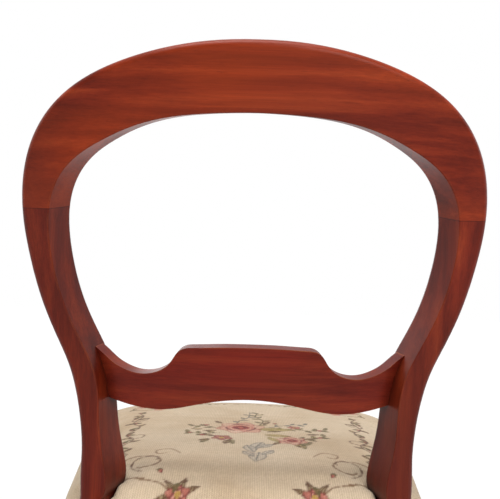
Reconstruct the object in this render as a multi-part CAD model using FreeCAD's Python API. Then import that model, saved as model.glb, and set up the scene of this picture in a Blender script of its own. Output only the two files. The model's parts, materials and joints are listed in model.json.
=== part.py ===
import FreeCAD, Part
import math
import os

# Balloon back dining chair in show-wood with a stuffed-over seat, in millimetres.
# It faces -Y, with its back at +Y and the floor at Z = 0. The sizes below are the driving ones.
# While it is built, Y = 0 is where the side rails meet the rear legs.

# Seat frame
RAIL_TOP = 430.0
RAIL_HEIGHT = 56.0
RAIL_THICKNESS = 26.0
BACK_RAIL_SETBACK = 5.0
FRONT_RAIL_BOW = 20.0

# Rear legs at the seat
REAR_BLOCK_OUT = 155.0
REAR_BLOCK_WIDTH = 34.0
REAR_BLOCK_DEPTH = 40.0
REAR_BLOCK_TURN = 10.0
REAR_BLOCK_RISE = 6.0
REAR_BLOCK_DROP = 8.0

# Rear legs below the seat: height, middle from the centre line, width, depth, turn in degrees
REAR_LEG_STATIONS = [
    (250.0, 138.0, 30.0, 37.0, 8.0),
    (120.0, 142.0, 27.0, 33.0, 6.0),
    (0.0, 147.0, 26.0, 30.0, 4.0),
]
FOOT_SWEEP = 78.0
SWEEP_POWER = 1.8

# Back: plan curve, lean at the top, and the balloon's outline from the top centre downwards
BACK_RADIUS = 650.0
BACK_LEAN = 92.0
LEAN_POWER = 1.6
CREST_TOP = 861.0
# Each row: out from the centre line, below the crest's top, member width, member depth
CREST_STATIONS = [
    (0.0, 0.0, 58.4, 28.5),
    (58.0, 2.9, 57.4, 28.3),
    (108.0, 12.1, 54.8, 28.6),
    (151.0, 26.9, 54.0, 29.4),
    (184.0, 49.8, 50.3, 31.0),
    (204.3, 80.9, 42.6, 33.0),
    (212.8, 132.0, 31.2, 34.2),
]
STILE_STATIONS = [
    (209.5, 160.9, 27.3, 34.4),
    (198.5, 204.5, 24.4, 34.6),
    (185.0, 237.7, 23.4, 35.0),
    (169.7, 267.8, 24.0, 36.0),
    (158.2, 303.2, 23.6, 37.8),
    (152.5, 343.7, 21.4, 40.0),
    (151.6, 390.0, 22.6, 42.0),
]
WAIST_TURN = 17.0
BACK_OUTER_ROUND = 6.0
BACK_INNER_ROUND = 1.0
FRONT_INNER_ROUND = 4.0
BLOCK_ROUND = 1.5

# Mid rail: its upper and lower edges, out from the centre line and above the floor at its front face
MID_RAIL_THICKNESS = 18.0
MID_RAIL_INSET = 1.0
MID_RAIL_FRONT_ROUND = 5.0
MID_RAIL_TOP = [
    (0.0, 612.0), (30.0, 611.4), (50.0, 610.2), (60.4, 608.4), (64.4, 605.4), (68.0, 600.0), (73.4, 592.6),
    (81.0, 587.4), (90.4, 584.5), (98.1, 583.9), (106.0, 584.9), (115.0, 587.9), (122.0, 591.4),
    (129.0, 596.6), (135.0, 601.6), (141.0, 605.8), (147.0, 609.2), (154.0, 612.4),
]
MID_RAIL_BOTTOM = [
    (0.0, 564.6), (22.0, 563.0), (45.0, 558.6), (64.0, 554.0), (83.0, 551.8), (114.0, 555.6), (141.0, 563.6),
]
MID_DOWEL_HEIGHT = 575.0

# Front legs
FRONT_LEG_OUT = 193.0
FRONT_LEG_FORWARD = 375.0
FRONT_BLOCK = 42.0
FRONT_BLOCK_ROUND = 12.0
FRONT_BLOCK_DROP = 10.0
# Turned profile, from the block down: height above the floor, radius, bulge of the stretch above
FRONT_LEG_PROFILE = [
    (358.0, 17.0, 0.0),
    (347.0, 17.0, 4.0),
    (344.0, 15.0, 0.0),
    (333.0, 15.0, -1.8),
    (330.0, 18.0, 0.0),
    (324.0, 18.0, 1.8),
    (321.0, 16.0, 0.0),
    (262.0, 19.0, 2.4),
    (66.0, 11.5, -1.5),
    (63.0, 13.5, 0.0),
    (53.0, 13.5, 2.5),
    (50.0, 10.5, 0.0),
    (8.0, 10.5, 2.8),
    (0.0, 9.5, 0.5),
]

# Joinery: each dowel is a radius and a length
CREST_DOWEL = (4.0, 40.0)
MID_DOWEL = (3.0, 26.0)
RAIL_DOWEL = (5.0, 36.0)
DOWEL_FIT = 0.05
DOWEL_END_GAP = 1.0
CREST_DOWEL_SPACING = 13.0
MID_DOWEL_SPACING = 16.0
SIDE_DOWEL_SPACING = 36.0
CROSS_DOWEL_SPACING = 14.0
CORNER_BLOCK_REACH = 42.0
CORNER_BLOCK_HEIGHT = 36.0
CORNER_BLOCK_SETDOWN = 8.0
CORNER_BLOCK_BITE = 10.0
SCREW_RADIUS = 2.0
SCREW_HEAD_RADIUS = 4.0
SCREW_LENGTH = 30.0
SCREW_SHARE = 0.24
SCREW_FIT = 0.1
LEG_GAP = 0.5

# Webbing and hessian
STRAP_WIDTH = 50.0
STRAP_THICKNESS = 1.6
LONG_STRAPS = 3
LONG_STRAP_PITCH = 76.0
CROSS_STRAPS = 4
CROSS_STRAP_PITCH = 84.0
CROSS_STRAP_START = 58.0
STRAP_END_MARGIN = 5.0
STRAP_RAMP_MARGIN = 3.0
STRAP_RAMP = 20.0
LAYER_GAP = 0.1
HESSIAN_THICKNESS = 0.9
HESSIAN_MARGIN = 3.0

# Tacks
TACKS_PER_STRAP_END = 3
STRAP_TACK_SPACING = 17.0
STRAP_TACK_MARGIN = 8.0
TACK_SHANK_RADIUS = 0.8
TACK_HEAD_RADIUS = 3.2
TACK_HEAD_THICKNESS = 0.7
TACK_LENGTH = 12.0
TACK_TIP = 2.5
TACK_FIT = 0.05
BOTTOM_TACK_MARGIN = 12.0
BOTTOM_TACK_END_GAP = 34.0
BACK_TACKS = 4
SIDE_TACKS = 6
FRONT_TACKS = 6

# Stuffed-over seat: how far its plan reaches past the frame where it is fullest
SEAT_FRONT_REACH = 26.0
SEAT_SIDE_REACH = 31.0
SEAT_BACK_SIDE_REACH = 30.0
SEAT_BACK_REACH = 9.0
# Rows: height above the rail tops, drawn in at front and sides, drawn in at the back,
# front corner radius, back corner radius. The first row is the lower edge and its height follows the rails.
SEAT_SECTIONS = [
    (None, 20.0, 3.0, 20.0, 9.0),
    (-30.0, 12.5, 1.8, 36.0, 9.5),
    (-4.0, 4.0, 0.5, 50.0, 10.5),
    (13.0, 0.0, 0.0, 58.0, 12.0),
    (27.0, 5.5, 2.2, 64.0, 15.0),
    (37.0, 17.0, 7.0, 72.0, 23.0),
    (44.0, 35.0, 16.0, 80.0, 35.0),
    (49.5, 64.0, 36.0, 86.0, 48.0),
    (53.0, 104.0, 68.0, 86.0, 50.0),
]
# The first stuffing, stitched into a firm pad with an upright edge: the same columns
PAD_SECTIONS = [
    (None, 18.0, 10.0, 30.0, 10.0),
    (12.0, 13.0, 7.0, 34.0, 12.0),
    (20.0, 13.0, 7.0, 34.0, 12.0),
    (27.0, 19.0, 12.0, 40.0, 16.0),
    (30.0, 36.0, 26.0, 52.0, 26.0),
]
COVER_THICKNESS = 1.5
WADDING_THICKNESS = 2.5
CALICO_THICKNESS = 0.6
SOFT_GAP = 0.3
NOTCH_ROUND = 14.0
PAD_LEG_GAP = 8.0
CALICO_RISE = 26.0
STUFFING_RISE = 20.0
WADDING_RISE = 1.0
TURN_UNDER = 18.0
BOTTOM_CLOTH_THICKNESS = 0.8
BOTTOM_CLOTH_MARGIN = 6.0

# Sizes worked out from the ones above
V = FreeCAD.Vector
UP = V(0, 0, 1)
RAIL_BOTTOM = RAIL_TOP - RAIL_HEIGHT
BLOCK_TOP = RAIL_TOP + REAR_BLOCK_RISE
BLOCK_BOTTOM = RAIL_BOTTOM - REAR_BLOCK_DROP
TURN = math.radians(REAR_BLOCK_TURN)
BLOCK_MIDDLE = REAR_BLOCK_OUT - REAR_BLOCK_WIDTH / 2 * math.cos(TURN) - REAR_BLOCK_DEPTH * math.sin(TURN)
CURVE_CENTRE = -math.sqrt(BACK_RADIUS ** 2 - BLOCK_MIDDLE ** 2)
FRONT_BLOCK_OUTER = FRONT_LEG_OUT + FRONT_BLOCK / 2
FRONT_BLOCK_INNER = FRONT_LEG_OUT - FRONT_BLOCK / 2
FRONT_BLOCK_BACK = -FRONT_LEG_FORWARD + FRONT_BLOCK / 2
FRONT_BLOCK_FRONT = -FRONT_LEG_FORWARD - FRONT_BLOCK / 2
WAIST_HEIGHT = CREST_TOP - STILE_STATIONS[-1][1]
MID_RAIL_LOW = min(height for out, height in MID_RAIL_BOTTOM)
HESSIAN_LOW = RAIL_TOP + 2 * STRAP_THICKNESS + 2 * LAYER_GAP
HESSIAN_TOP = HESSIAN_LOW + HESSIAN_THICKNESS
COVER_FLOOR = RAIL_BOTTOM - LAYER_GAP
SEAT_LOWEST = COVER_FLOOR - COVER_THICKNESS
CLOTH_TOP = SEAT_LOWEST - LAYER_GAP
BLOCK_OUTER_FRONT = REAR_BLOCK_OUT - REAR_BLOCK_DEPTH * math.sin(TURN)
SEAT_FRONT_CORNER = -FRONT_BLOCK_FRONT + SEAT_FRONT_REACH
SEAT_FRONT = SEAT_FRONT_CORNER + FRONT_RAIL_BOW
SEAT_FRONT_HALF = FRONT_BLOCK_OUTER + SEAT_SIDE_REACH
SEAT_BACK_HALF = BLOCK_OUTER_FRONT + SEAT_BACK_SIDE_REACH
SEAT_BACK = BACK_RAIL_SETBACK + RAIL_THICKNESS + SEAT_BACK_REACH
SEAT_CORNER_ROUND = max(radius for rise, side_in, back_in, radius, back_radius in SEAT_SECTIONS[:4])
SEAT_SPREAD = (SEAT_FRONT_HALF - SEAT_BACK_HALF) / (SEAT_FRONT_CORNER - SEAT_CORNER_ROUND)
CUT_REACH = 2 * SEAT_FRONT_HALF
BACK_ROUNDS = (BACK_OUTER_ROUND, BACK_INNER_ROUND, FRONT_INNER_ROUND, BACK_OUTER_ROUND)


def solid_prism(points, low, high):
    """A vertical prism over a plan given as corner points."""
    corners = [V(x, y, low) for x, y in points]
    face = Part.Face(Part.makePolygon(corners + corners[:1]))
    return face.extrude(V(0, 0, high - low))


def mirrored(shape):
    """The same piece on the other side of the chair."""
    return shape.mirror(V(0, 0, 0), V(1, 0, 0))


def rounded_section(corner, across, forward, width, depth, radii):
    """A rectangle with rounded corners, from its outer back corner round to its outer front one."""
    ends = [(0, 0), (width, 0), (width, depth), (0, depth)]
    ways = [(1, 0), (0, 1), (-1, 0), (0, -1)]

    def place(a, b):
        return corner + across * a + forward * b

    starts = []
    edges = []
    for number in range(4):
        a, b = ends[number]
        radius = radii[number]
        before = ways[number - 1]
        after = ways[number]
        enter = place(a - before[0] * radius, b - before[1] * radius)
        leave = place(a + after[0] * radius, b + after[1] * radius)
        bend = radius * (1 - math.sqrt(0.5))
        middle = place(a + (after[0] - before[0]) * bend, b + (after[1] - before[1]) * bend)
        starts.append((enter, middle, leave))
    for number in range(4):
        enter, middle, leave = starts[number]
        edges.append(Part.Arc(enter, middle, leave).toShape())
        edges.append(Part.LineSegment(leave, starts[(number + 1) % 4][0]).toShape())
    return Part.Wire(edges)


def back_setback(height):
    """How far the back's front face stands behind the seat joint at a height, and its slope there."""
    rise = height - BLOCK_TOP
    if rise <= 0:
        return 0.0, 0.0
    span = CREST_TOP - BLOCK_TOP
    share = rise / span
    return BACK_LEAN * share ** LEAN_POWER, BACK_LEAN * LEAN_POWER * share ** (LEAN_POWER - 1) / span


def foot_setback(height):
    """How far the rear leg's front face sweeps back below the seat."""
    return FOOT_SWEEP * ((BLOCK_BOTTOM - height) / BLOCK_BOTTOM) ** SWEEP_POWER


def back_turn(out, height, depth):
    """Turn of the back's faces in plan: square to the curve, and a little more towards the waist."""
    along_curve = math.asin(out / (BACK_RADIUS + depth))
    if height >= MID_RAIL_LOW:
        return along_curve
    share = (MID_RAIL_LOW - height) / (MID_RAIL_LOW - WAIST_HEIGHT)
    waist = math.copysign(math.radians(WAIST_TURN), out)
    return along_curve + (waist - along_curve) * share


def balloon_stations():
    """The outline's rows from the left block over the crest to the right block."""
    half = []
    for out, drop, width, depth in CREST_STATIONS + STILE_STATIONS:
        half.append((out, CREST_TOP - drop, width, depth))
    left = [(-out, height, width, depth) for out, height, width, depth in reversed(half[1:])]
    return left + half


def balloon_curve(stations):
    """The outer edge of the balloon as one smooth curve across and up."""
    points = [V(-REAR_BLOCK_OUT, 0, BLOCK_TOP)]
    points += [V(out, 0, height) for out, height, width, depth in stations]
    points.append(V(REAR_BLOCK_OUT, 0, BLOCK_TOP))
    curve = Part.BSplineCurve()
    curve.interpolate(points)
    return curve


def balloon_frame(station, curve):
    """Outer back corner of the member at a row, with its ways along, inwards and forwards."""
    out, height, width, depth = station
    way = curve.tangent(curve.parameter(V(out, 0, height)))[0]
    setback, slope = back_setback(height)
    turn = math.tan(back_turn(out, height, depth))
    y = CURVE_CENTRE + math.sqrt((BACK_RADIUS + depth) ** 2 - out ** 2) + setback
    along = V(way.x, slope * way.z - turn * way.x, way.z).normalize()
    backward = V(turn, 1, -slope).normalize()
    inward = backward.cross(along).normalize()
    return V(out, y, height), along, inward, -backward


def balloon_section(station, curve):
    """The member's outline at a row, square to its run."""
    corner, along, inward, forward = balloon_frame(station, curve)
    return rounded_section(corner, inward, forward, station[2], station[3], BACK_ROUNDS)


def leg_section(middle_out, front, height, width, depth, turn):
    """A level section of the right rear leg, from the middle of its front face."""
    outward = V(math.cos(turn), -math.sin(turn), 0)
    backward = V(math.sin(turn), math.cos(turn), 0)
    corner = V(middle_out, front, height) + outward * (width / 2) + backward * depth
    rounds = (BLOCK_ROUND, BLOCK_ROUND, BLOCK_ROUND, BLOCK_ROUND)
    return rounded_section(corner, -outward, -backward, width, depth, rounds)


def block_section(height):
    return leg_section(BLOCK_MIDDLE, 0, height, REAR_BLOCK_WIDTH, REAR_BLOCK_DEPTH, TURN)


def block_plan(grow):
    """Corner points of the right rear leg's block in plan, grown all round."""
    outward = V(math.cos(TURN), -math.sin(TURN), 0)
    backward = V(math.sin(TURN), math.cos(TURN), 0)
    middle = V(BLOCK_MIDDLE, 0, 0)
    half = REAR_BLOCK_WIDTH / 2 + grow
    points = []
    for side, along in ((-1, -grow), (1, -grow), (1, REAR_BLOCK_DEPTH + grow), (-1, REAR_BLOCK_DEPTH + grow)):
        place = middle + outward * (side * half) + backward * along
        points.append((place.x, place.y))
    return points


def below_joint(stations, curve):
    """The room below the right crest joint, as a block whose end lies in the joint."""
    row = stations[-len(STILE_STATIONS) - 1]
    corner, along, inward, forward = balloon_frame(row, curve)
    way = FreeCAD.Rotation(inward, forward, along)
    span = BACK_LEAN + CREST_TOP - BLOCK_TOP
    reach = 3 * BACK_LEAN
    block = Part.makeBox(reach, reach, span, V(-reach / 2, -reach / 2, 0))
    block.Placement = FreeCAD.Placement(corner, way).multiply(block.Placement)
    return block


def balloon(stations, curve):
    """Both stiles and the arch over them as one smooth run."""
    return Part.makeLoft([balloon_section(row, curve) for row in stations], True)


def rear_leg(run, room, stations, curve):
    """The right stile, block and sabre leg, in one piece from the crest joint to the floor."""
    upper = run.common(room)
    shoulder = Part.makeLoft([balloon_section(stations[-1], curve), block_section(BLOCK_TOP)], True)
    block = Part.Face(block_section(BLOCK_BOTTOM)).extrude(UP * (BLOCK_TOP - BLOCK_BOTTOM))
    lower_wires = [block_section(BLOCK_BOTTOM)]
    for height, middle, width, depth, turn in REAR_LEG_STATIONS:
        front = foot_setback(height)
        lower_wires.append(leg_section(middle, front, height, width, depth, math.radians(turn)))
    lower = Part.makeLoft(lower_wires, True)
    return upper.fuse([shoulder, block, lower])


def smooth_edge(points):
    curve = Part.BSplineCurve()
    curve.interpolate(points)
    return curve.toShape()


def mid_rail_frame():
    """Where the mid rail's front face lies at the centre line, and its ways up and back."""
    middle = (MID_RAIL_TOP[0][1] + MID_RAIL_BOTTOM[0][1]) / 2
    setback, slope = back_setback(middle)
    tilt = math.atan(slope)
    front = CURVE_CENTRE + BACK_RADIUS + setback
    return V(0, front, middle), V(0, math.sin(tilt), math.cos(tilt)), V(0, math.cos(tilt), -math.sin(tilt))


def mid_rail_outline(origin, up, backward, ahead):
    """The mid rail's outline on a plane ahead of its face, spread as the curve of the back spreads."""
    reach = BACK_RADIUS - ahead

    def place(out, height):
        spread = reach / math.sqrt((BACK_RADIUS + MID_RAIL_INSET) ** 2 - out ** 2)
        return origin - backward * ahead + V(out * spread, 0, 0) + up * ((height - origin.z) / up.z)

    edges = []
    for points in (MID_RAIL_TOP, MID_RAIL_BOTTOM):
        right = [place(out, height) for out, height in points]
        left = [place(-out, height) for out, height in reversed(points[1:])]
        edges.append(smooth_edge(left + right))
    upper, lower = edges
    ends = [Part.LineSegment(upper.Vertexes[number].Point, lower.Vertexes[number].Point).toShape()
            for number in (0, 1)]
    return Part.Wire(Part.__sortEdges__([upper, lower] + ends))


def mid_rail(legs):
    """The shaped cross rail: its outline cut from a slab curved like the back, ended on the stiles."""
    origin, up, backward = mid_rail_frame()
    span = MID_RAIL_TOP[-1][0]
    ahead = 2 * (BACK_RADIUS - math.sqrt(BACK_RADIUS ** 2 - span ** 2))
    outlines = [mid_rail_outline(origin, up, backward, way * ahead) for way in (1, -1)]
    plank = Part.makeLoft(outlines, True, True)
    axis_point = origin - backward * BACK_RADIUS - up * BACK_RADIUS
    length = 2 * BACK_RADIUS
    front = BACK_RADIUS + MID_RAIL_INSET
    outer = Part.makeCylinder(front + MID_RAIL_THICKNESS, length, axis_point, up)
    inner = Part.makeCylinder(front, length, axis_point, up)
    slab = plank.common(outer).cut(inner)
    long_edges = [edge for edge in slab.Edges if edge.Length > span]
    front_edges = [edge for edge in long_edges if front_edge(edge, origin, up, backward)]
    return slab.makeFillet(MID_RAIL_FRONT_ROUND, front_edges).cut(legs)


def front_edge(edge, origin, up, backward):
    """True for an edge that lies on the mid rail's front face."""
    middle = edge.valueAt((edge.FirstParameter + edge.LastParameter) / 2)
    return (middle - origin).dot(backward) < MID_RAIL_INSET + MID_RAIL_THICKNESS / 2


def rod(middle, axis, radius, length):
    return Part.makeCylinder(radius, length, middle - axis * (length / 2), axis)


def add_dowel(parts, group, nodes, middle, axis, size):
    """Adds a dowel to its group and drills its hole in the pieces that it joins."""
    radius, length = size
    parts.setdefault(group, []).append(rod(middle, axis, radius, length))
    hole = rod(middle, axis, radius + DOWEL_FIT, length + 2 * DOWEL_END_GAP)
    for node in nodes:
        parts[node] = parts[node].cut(hole)


def meet(start_a, way_a, start_b, way_b):
    """Where two straight lines in plan cross."""
    gap = start_b - start_a
    share = (gap.x * way_b.y - gap.y * way_b.x) / (way_a.x * way_b.y - way_a.y * way_b.x)
    return start_a + way_a * share


def plan_points(points):
    return [(point.x, point.y) for point in points]


def front_rail_face(out):
    """Y of the front rail's bowed outer face."""
    radius = (FRONT_BLOCK_INNER ** 2 + FRONT_RAIL_BOW ** 2) / (2 * FRONT_RAIL_BOW)
    return FRONT_BLOCK_FRONT - FRONT_RAIL_BOW + radius - math.sqrt(radius ** 2 - out ** 2)


def side_rail_lines():
    """The left side rail in plan: its outer back corner, its ways forward and inward, and its front end."""
    back = V(*block_plan(0)[1], 0)
    front = V(FRONT_BLOCK_OUTER, FRONT_BLOCK_BACK, 0)
    forward = (front - back).normalize()
    return back, front, forward, V(forward.y, -forward.x, 0)


def side_rail_face(y):
    """Distance from the centre line of a side rail's outer face."""
    back, front, forward, inward = side_rail_lines()
    return back.x + (back.y - y) * forward.x / -forward.y


def side_rail():
    """The left side rail, cut to meet the leg block behind it and the one ahead of it."""
    back, front, forward, inward = side_rail_lines()
    inner = back + inward * RAIL_THICKNESS
    block_inner = V(*block_plan(0)[0], 0)
    back_inner = meet(inner, forward, back, block_inner - back)
    front_inner = meet(inner, forward, front, V(1, 0, 0))
    return solid_prism(plan_points([back, front, front_inner, back_inner]), RAIL_BOTTOM, RAIL_TOP)


def back_rail():
    """The straight rail between the rear legs."""
    face_start = V(*block_plan(0)[0], 0)
    face_end = V(*block_plan(0)[3], 0)
    points = []
    for y in (BACK_RAIL_SETBACK, BACK_RAIL_SETBACK + RAIL_THICKNESS):
        points.append(meet(V(0, y, 0), V(1, 0, 0), face_start, face_end - face_start))
    near, far = plan_points(points)
    return solid_prism([near, far, (-far[0], far[1]), (-near[0], near[1])], RAIL_BOTTOM, RAIL_TOP)


def arc_edge(start, middle, end, height):
    return Part.Arc(V(*start, height), V(*middle, height), V(*end, height)).toShape()


def line_edge(start, end, height):
    return Part.LineSegment(V(*start, height), V(*end, height)).toShape()


def front_rail():
    """The bowed rail between the front legs."""
    ends = FRONT_BLOCK_INNER
    outer = FRONT_BLOCK_FRONT
    inner = outer + RAIL_THICKNESS
    edges = [
        arc_edge((-ends, outer), (0, outer - FRONT_RAIL_BOW), (ends, outer), RAIL_BOTTOM),
        line_edge((ends, outer), (ends, inner), RAIL_BOTTOM),
        arc_edge((ends, inner), (0, inner - FRONT_RAIL_BOW), (-ends, inner), RAIL_BOTTOM),
        line_edge((-ends, inner), (-ends, outer), RAIL_BOTTOM),
    ]
    return Part.Face(Part.Wire(edges)).extrude(UP * RAIL_HEIGHT)


def front_leg():
    """The left front leg: a square block with an eased outer corner over a turned shaft."""
    bottom = RAIL_BOTTOM - FRONT_BLOCK_DROP
    corner = V(FRONT_BLOCK_OUTER, FRONT_BLOCK_BACK, bottom)
    rounds = (BLOCK_ROUND, BLOCK_ROUND, BLOCK_ROUND, FRONT_BLOCK_ROUND)
    section = rounded_section(corner, V(-1, 0, 0), V(0, -1, 0), FRONT_BLOCK, FRONT_BLOCK, rounds)
    block = Part.Face(section).extrude(UP * (RAIL_TOP - bottom))
    top = V(FRONT_LEG_PROFILE[0][1], 0, bottom)
    edges = [Part.LineSegment(V(0, 0, bottom), top).toShape()]
    before = top
    for height, radius, bulge in FRONT_LEG_PROFILE:
        point = V(radius, 0, height)
        if bulge:
            chord = (point - before).normalize()
            middle = (point + before) * 0.5 + V(-chord.z, 0, chord.x) * bulge
            edges.append(Part.Arc(before, middle, point).toShape())
        else:
            edges.append(Part.LineSegment(before, point).toShape())
        before = point
    edges.append(Part.LineSegment(before, V(0, 0, 0)).toShape())
    edges.append(Part.LineSegment(V(0, 0, 0), V(0, 0, bottom)).toShape())
    shaft = Part.Face(Part.Wire(edges)).revolve(V(0, 0, 0), UP, 360)
    shaft.translate(V(FRONT_LEG_OUT, -FRONT_LEG_FORWARD, 0))
    return block.fuse(shaft)


def screw(head, way, grow):
    """A countersunk wood screw from its head's face inwards; grown, it is the hole for one."""
    shank = Part.makeCylinder(SCREW_RADIUS + grow, SCREW_LENGTH + grow, head, way)
    sink = SCREW_HEAD_RADIUS - SCREW_RADIUS
    cone = Part.makeCone(SCREW_HEAD_RADIUS + grow, SCREW_RADIUS + grow, sink, head, way)
    return shank.fuse(cone)


def add_corner_block(parts, node, rails, leg, first, first_out, second, second_out, hub):
    """A brace across an inner corner of the seat frame, glued and screwed to both rails."""
    top = RAIL_TOP - CORNER_BLOCK_SETDOWN
    bottom = top - CORNER_BLOCK_HEIGHT
    points = [
        first + first_out * CORNER_BLOCK_BITE,
        first,
        second,
        second + second_out * CORNER_BLOCK_BITE,
        hub,
    ]
    brace = solid_prism(plan_points(points), bottom, top).cut([parts[rail] for rail in rails])
    brace = brace.cut(leg)
    across = second - first
    height = UP * ((top + bottom) / 2)
    for share, way, rail in ((SCREW_SHARE, first_out, rails[0]), (1 - SCREW_SHARE, second_out, rails[1])):
        head = first + across * share + height
        parts.setdefault("corner_block_screws", []).append(screw(head, way, 0))
        hole = screw(head, way, SCREW_FIT)
        brace = brace.cut(hole)
        parts[rail] = parts[rail].cut(hole)
    parts[node] = brace


def mirror_way(vector):
    return V(-vector.x, vector.y, vector.z)


def add_corner_blocks(parts):
    """Braces at the back and front corners, on both sides."""
    back, front, forward, inward = side_rail_lines()
    inner = back + inward * RAIL_THICKNESS
    block_inner = V(*block_plan(0)[0], 0)
    front_rail_out = FRONT_BLOCK_INNER - CORNER_BLOCK_REACH
    places = {
        "back_corner_block": (
            "back_seat_rail",
            solid_prism(block_plan(LEG_GAP), RAIL_BOTTOM - LEG_GAP, BLOCK_TOP),
            meet(inner, forward, back, block_inner - back) + forward * CORNER_BLOCK_REACH,
            V(block_inner.x - CORNER_BLOCK_REACH, BACK_RAIL_SETBACK, 0),
            V(0, 1, 0),
            V(BLOCK_MIDDLE, REAR_BLOCK_DEPTH / 2, 0),
        ),
        "front_corner_block": (
            "front_seat_rail",
            front_block_prism(LEG_GAP),
            meet(inner, forward, front, V(1, 0, 0)) - forward * CORNER_BLOCK_REACH,
            V(front_rail_out, front_rail_face(front_rail_out) + RAIL_THICKNESS, 0),
            V(0, -1, 0),
            V(FRONT_LEG_OUT, -FRONT_LEG_FORWARD, 0),
        ),
    }
    for name, (rail, leg, first, second, second_out, hub) in places.items():
        add_corner_block(
            parts, "left_" + name, ("left_seat_rail", rail), leg,
            first, -inward, second, second_out, hub,
        )
        add_corner_block(
            parts, "right_" + name, ("right_seat_rail", rail), mirrored(leg),
            mirror_way(first), mirror_way(-inward), mirror_way(second), second_out, mirror_way(hub),
        )


def front_block_prism(grow):
    """The left front leg's block, grown all round, over the height of the rails."""
    low = FRONT_BLOCK_FRONT - grow
    high = FRONT_BLOCK_BACK + grow
    near = FRONT_BLOCK_INNER - grow
    far = FRONT_BLOCK_OUTER + grow
    points = [(near, low), (far, low), (far, high), (near, high)]
    return solid_prism(points, RAIL_BOTTOM - RAIL_HEIGHT, RAIL_TOP)


def stile_inner_out(stations, curve, height, depth):
    """Distance from the centre line of the stile's inner face, at a height and a depth behind the front."""
    places = []
    for row in stations[-len(STILE_STATIONS) - 1:]:
        corner, along, inward, forward = balloon_frame(row, curve)
        inner = corner + inward * row[2]
        places.append((inner.z, inner.x * (BACK_RADIUS + depth) / (BACK_RADIUS + row[3])))
    for (high, high_out), (low, low_out) in zip(places, places[1:]):
        if low <= height <= high:
            return low_out + (high_out - low_out) * (height - low) / (high - low)
    return places[-1][1]


def add_joinery(parts):
    """Dowels at every joint of the frame."""
    stations = balloon_stations()
    curve = balloon_curve(stations)
    row = stations[-len(STILE_STATIONS) - 1]
    corner, along, inward, forward = balloon_frame(row, curve)
    for share in (-0.5, 0.5):
        middle = corner + inward * (row[2] / 2) + forward * (row[3] / 2 + share * CREST_DOWEL_SPACING)
        add_dowel(parts, "crest_dowels", ("crest_rail", "left_rear_leg"), middle, along, CREST_DOWEL)
        add_dowel(parts, "crest_dowels", ("crest_rail", "right_rear_leg"), mirror_way(middle),
                  mirror_way(along), CREST_DOWEL)

    origin, up, backward = mid_rail_frame()
    for share in (-0.5, 0.5):
        height = MID_DOWEL_HEIGHT + share * MID_DOWEL_SPACING
        setback, slope = back_setback(height)
        depth = MID_RAIL_INSET + MID_RAIL_THICKNESS / 2
        out = stile_inner_out(stations, curve, height, depth)
        y = CURVE_CENTRE + math.sqrt((BACK_RADIUS + depth) ** 2 - out ** 2) + setback
        turn = math.asin(out / (BACK_RADIUS + depth))
        axis = V(math.cos(turn), -math.sin(turn), 0)
        middle = V(out, y, height)
        add_dowel(parts, "mid_rail_dowels", ("mid_rail", "left_rear_leg"), middle, axis, MID_DOWEL)
        add_dowel(parts, "mid_rail_dowels", ("mid_rail", "right_rear_leg"), mirror_way(middle),
                  mirror_way(axis), MID_DOWEL)

    back, front, forward, inward = side_rail_lines()
    middle_line = back + inward * (RAIL_THICKNESS / 2)
    block_inner = V(*block_plan(0)[0], 0)
    block_inner_back = V(*block_plan(0)[3], 0)
    back_rail_middle = V(0, BACK_RAIL_SETBACK + RAIL_THICKNESS / 2, 0)
    outward = V(math.cos(TURN), -math.sin(TURN), 0)
    joints = [
        ("side_rail_back_dowels", "seat_rail", "rear_leg",
         meet(middle_line, forward, back, block_inner - back), forward, SIDE_DOWEL_SPACING),
        ("side_rail_front_dowels", "seat_rail", "front_leg", meet(middle_line, forward, front, V(1, 0, 0)),
         forward, SIDE_DOWEL_SPACING),
        ("back_rail_dowels", "back_seat_rail", "rear_leg",
         meet(back_rail_middle, V(1, 0, 0), block_inner, block_inner_back - block_inner),
         outward, CROSS_DOWEL_SPACING),
        ("front_rail_dowels", "front_seat_rail", "front_leg",
         V(FRONT_BLOCK_INNER, FRONT_BLOCK_FRONT + RAIL_THICKNESS / 2, 0), V(1, 0, 0), CROSS_DOWEL_SPACING),
    ]
    for group, rail, leg, place, axis, spacing in joints:
        for share in (-0.5, 0.5):
            middle = place + UP * ((RAIL_TOP + RAIL_BOTTOM) / 2 + share * spacing)
            for side, way in (("left_", lambda vector: vector), ("right_", mirror_way)):
                rail_node = side + rail if rail == "seat_rail" else rail
                add_dowel(parts, group, (rail_node, side + leg), way(middle), way(axis), RAIL_DOWEL)


def seat_side(y, drawn_in):
    """Distance from the centre line of the seat's side edge, drawn in square to itself."""
    slant = math.sqrt(1 + SEAT_SPREAD ** 2)
    return SEAT_BACK_HALF - y * SEAT_SPREAD - drawn_in * slant


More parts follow.
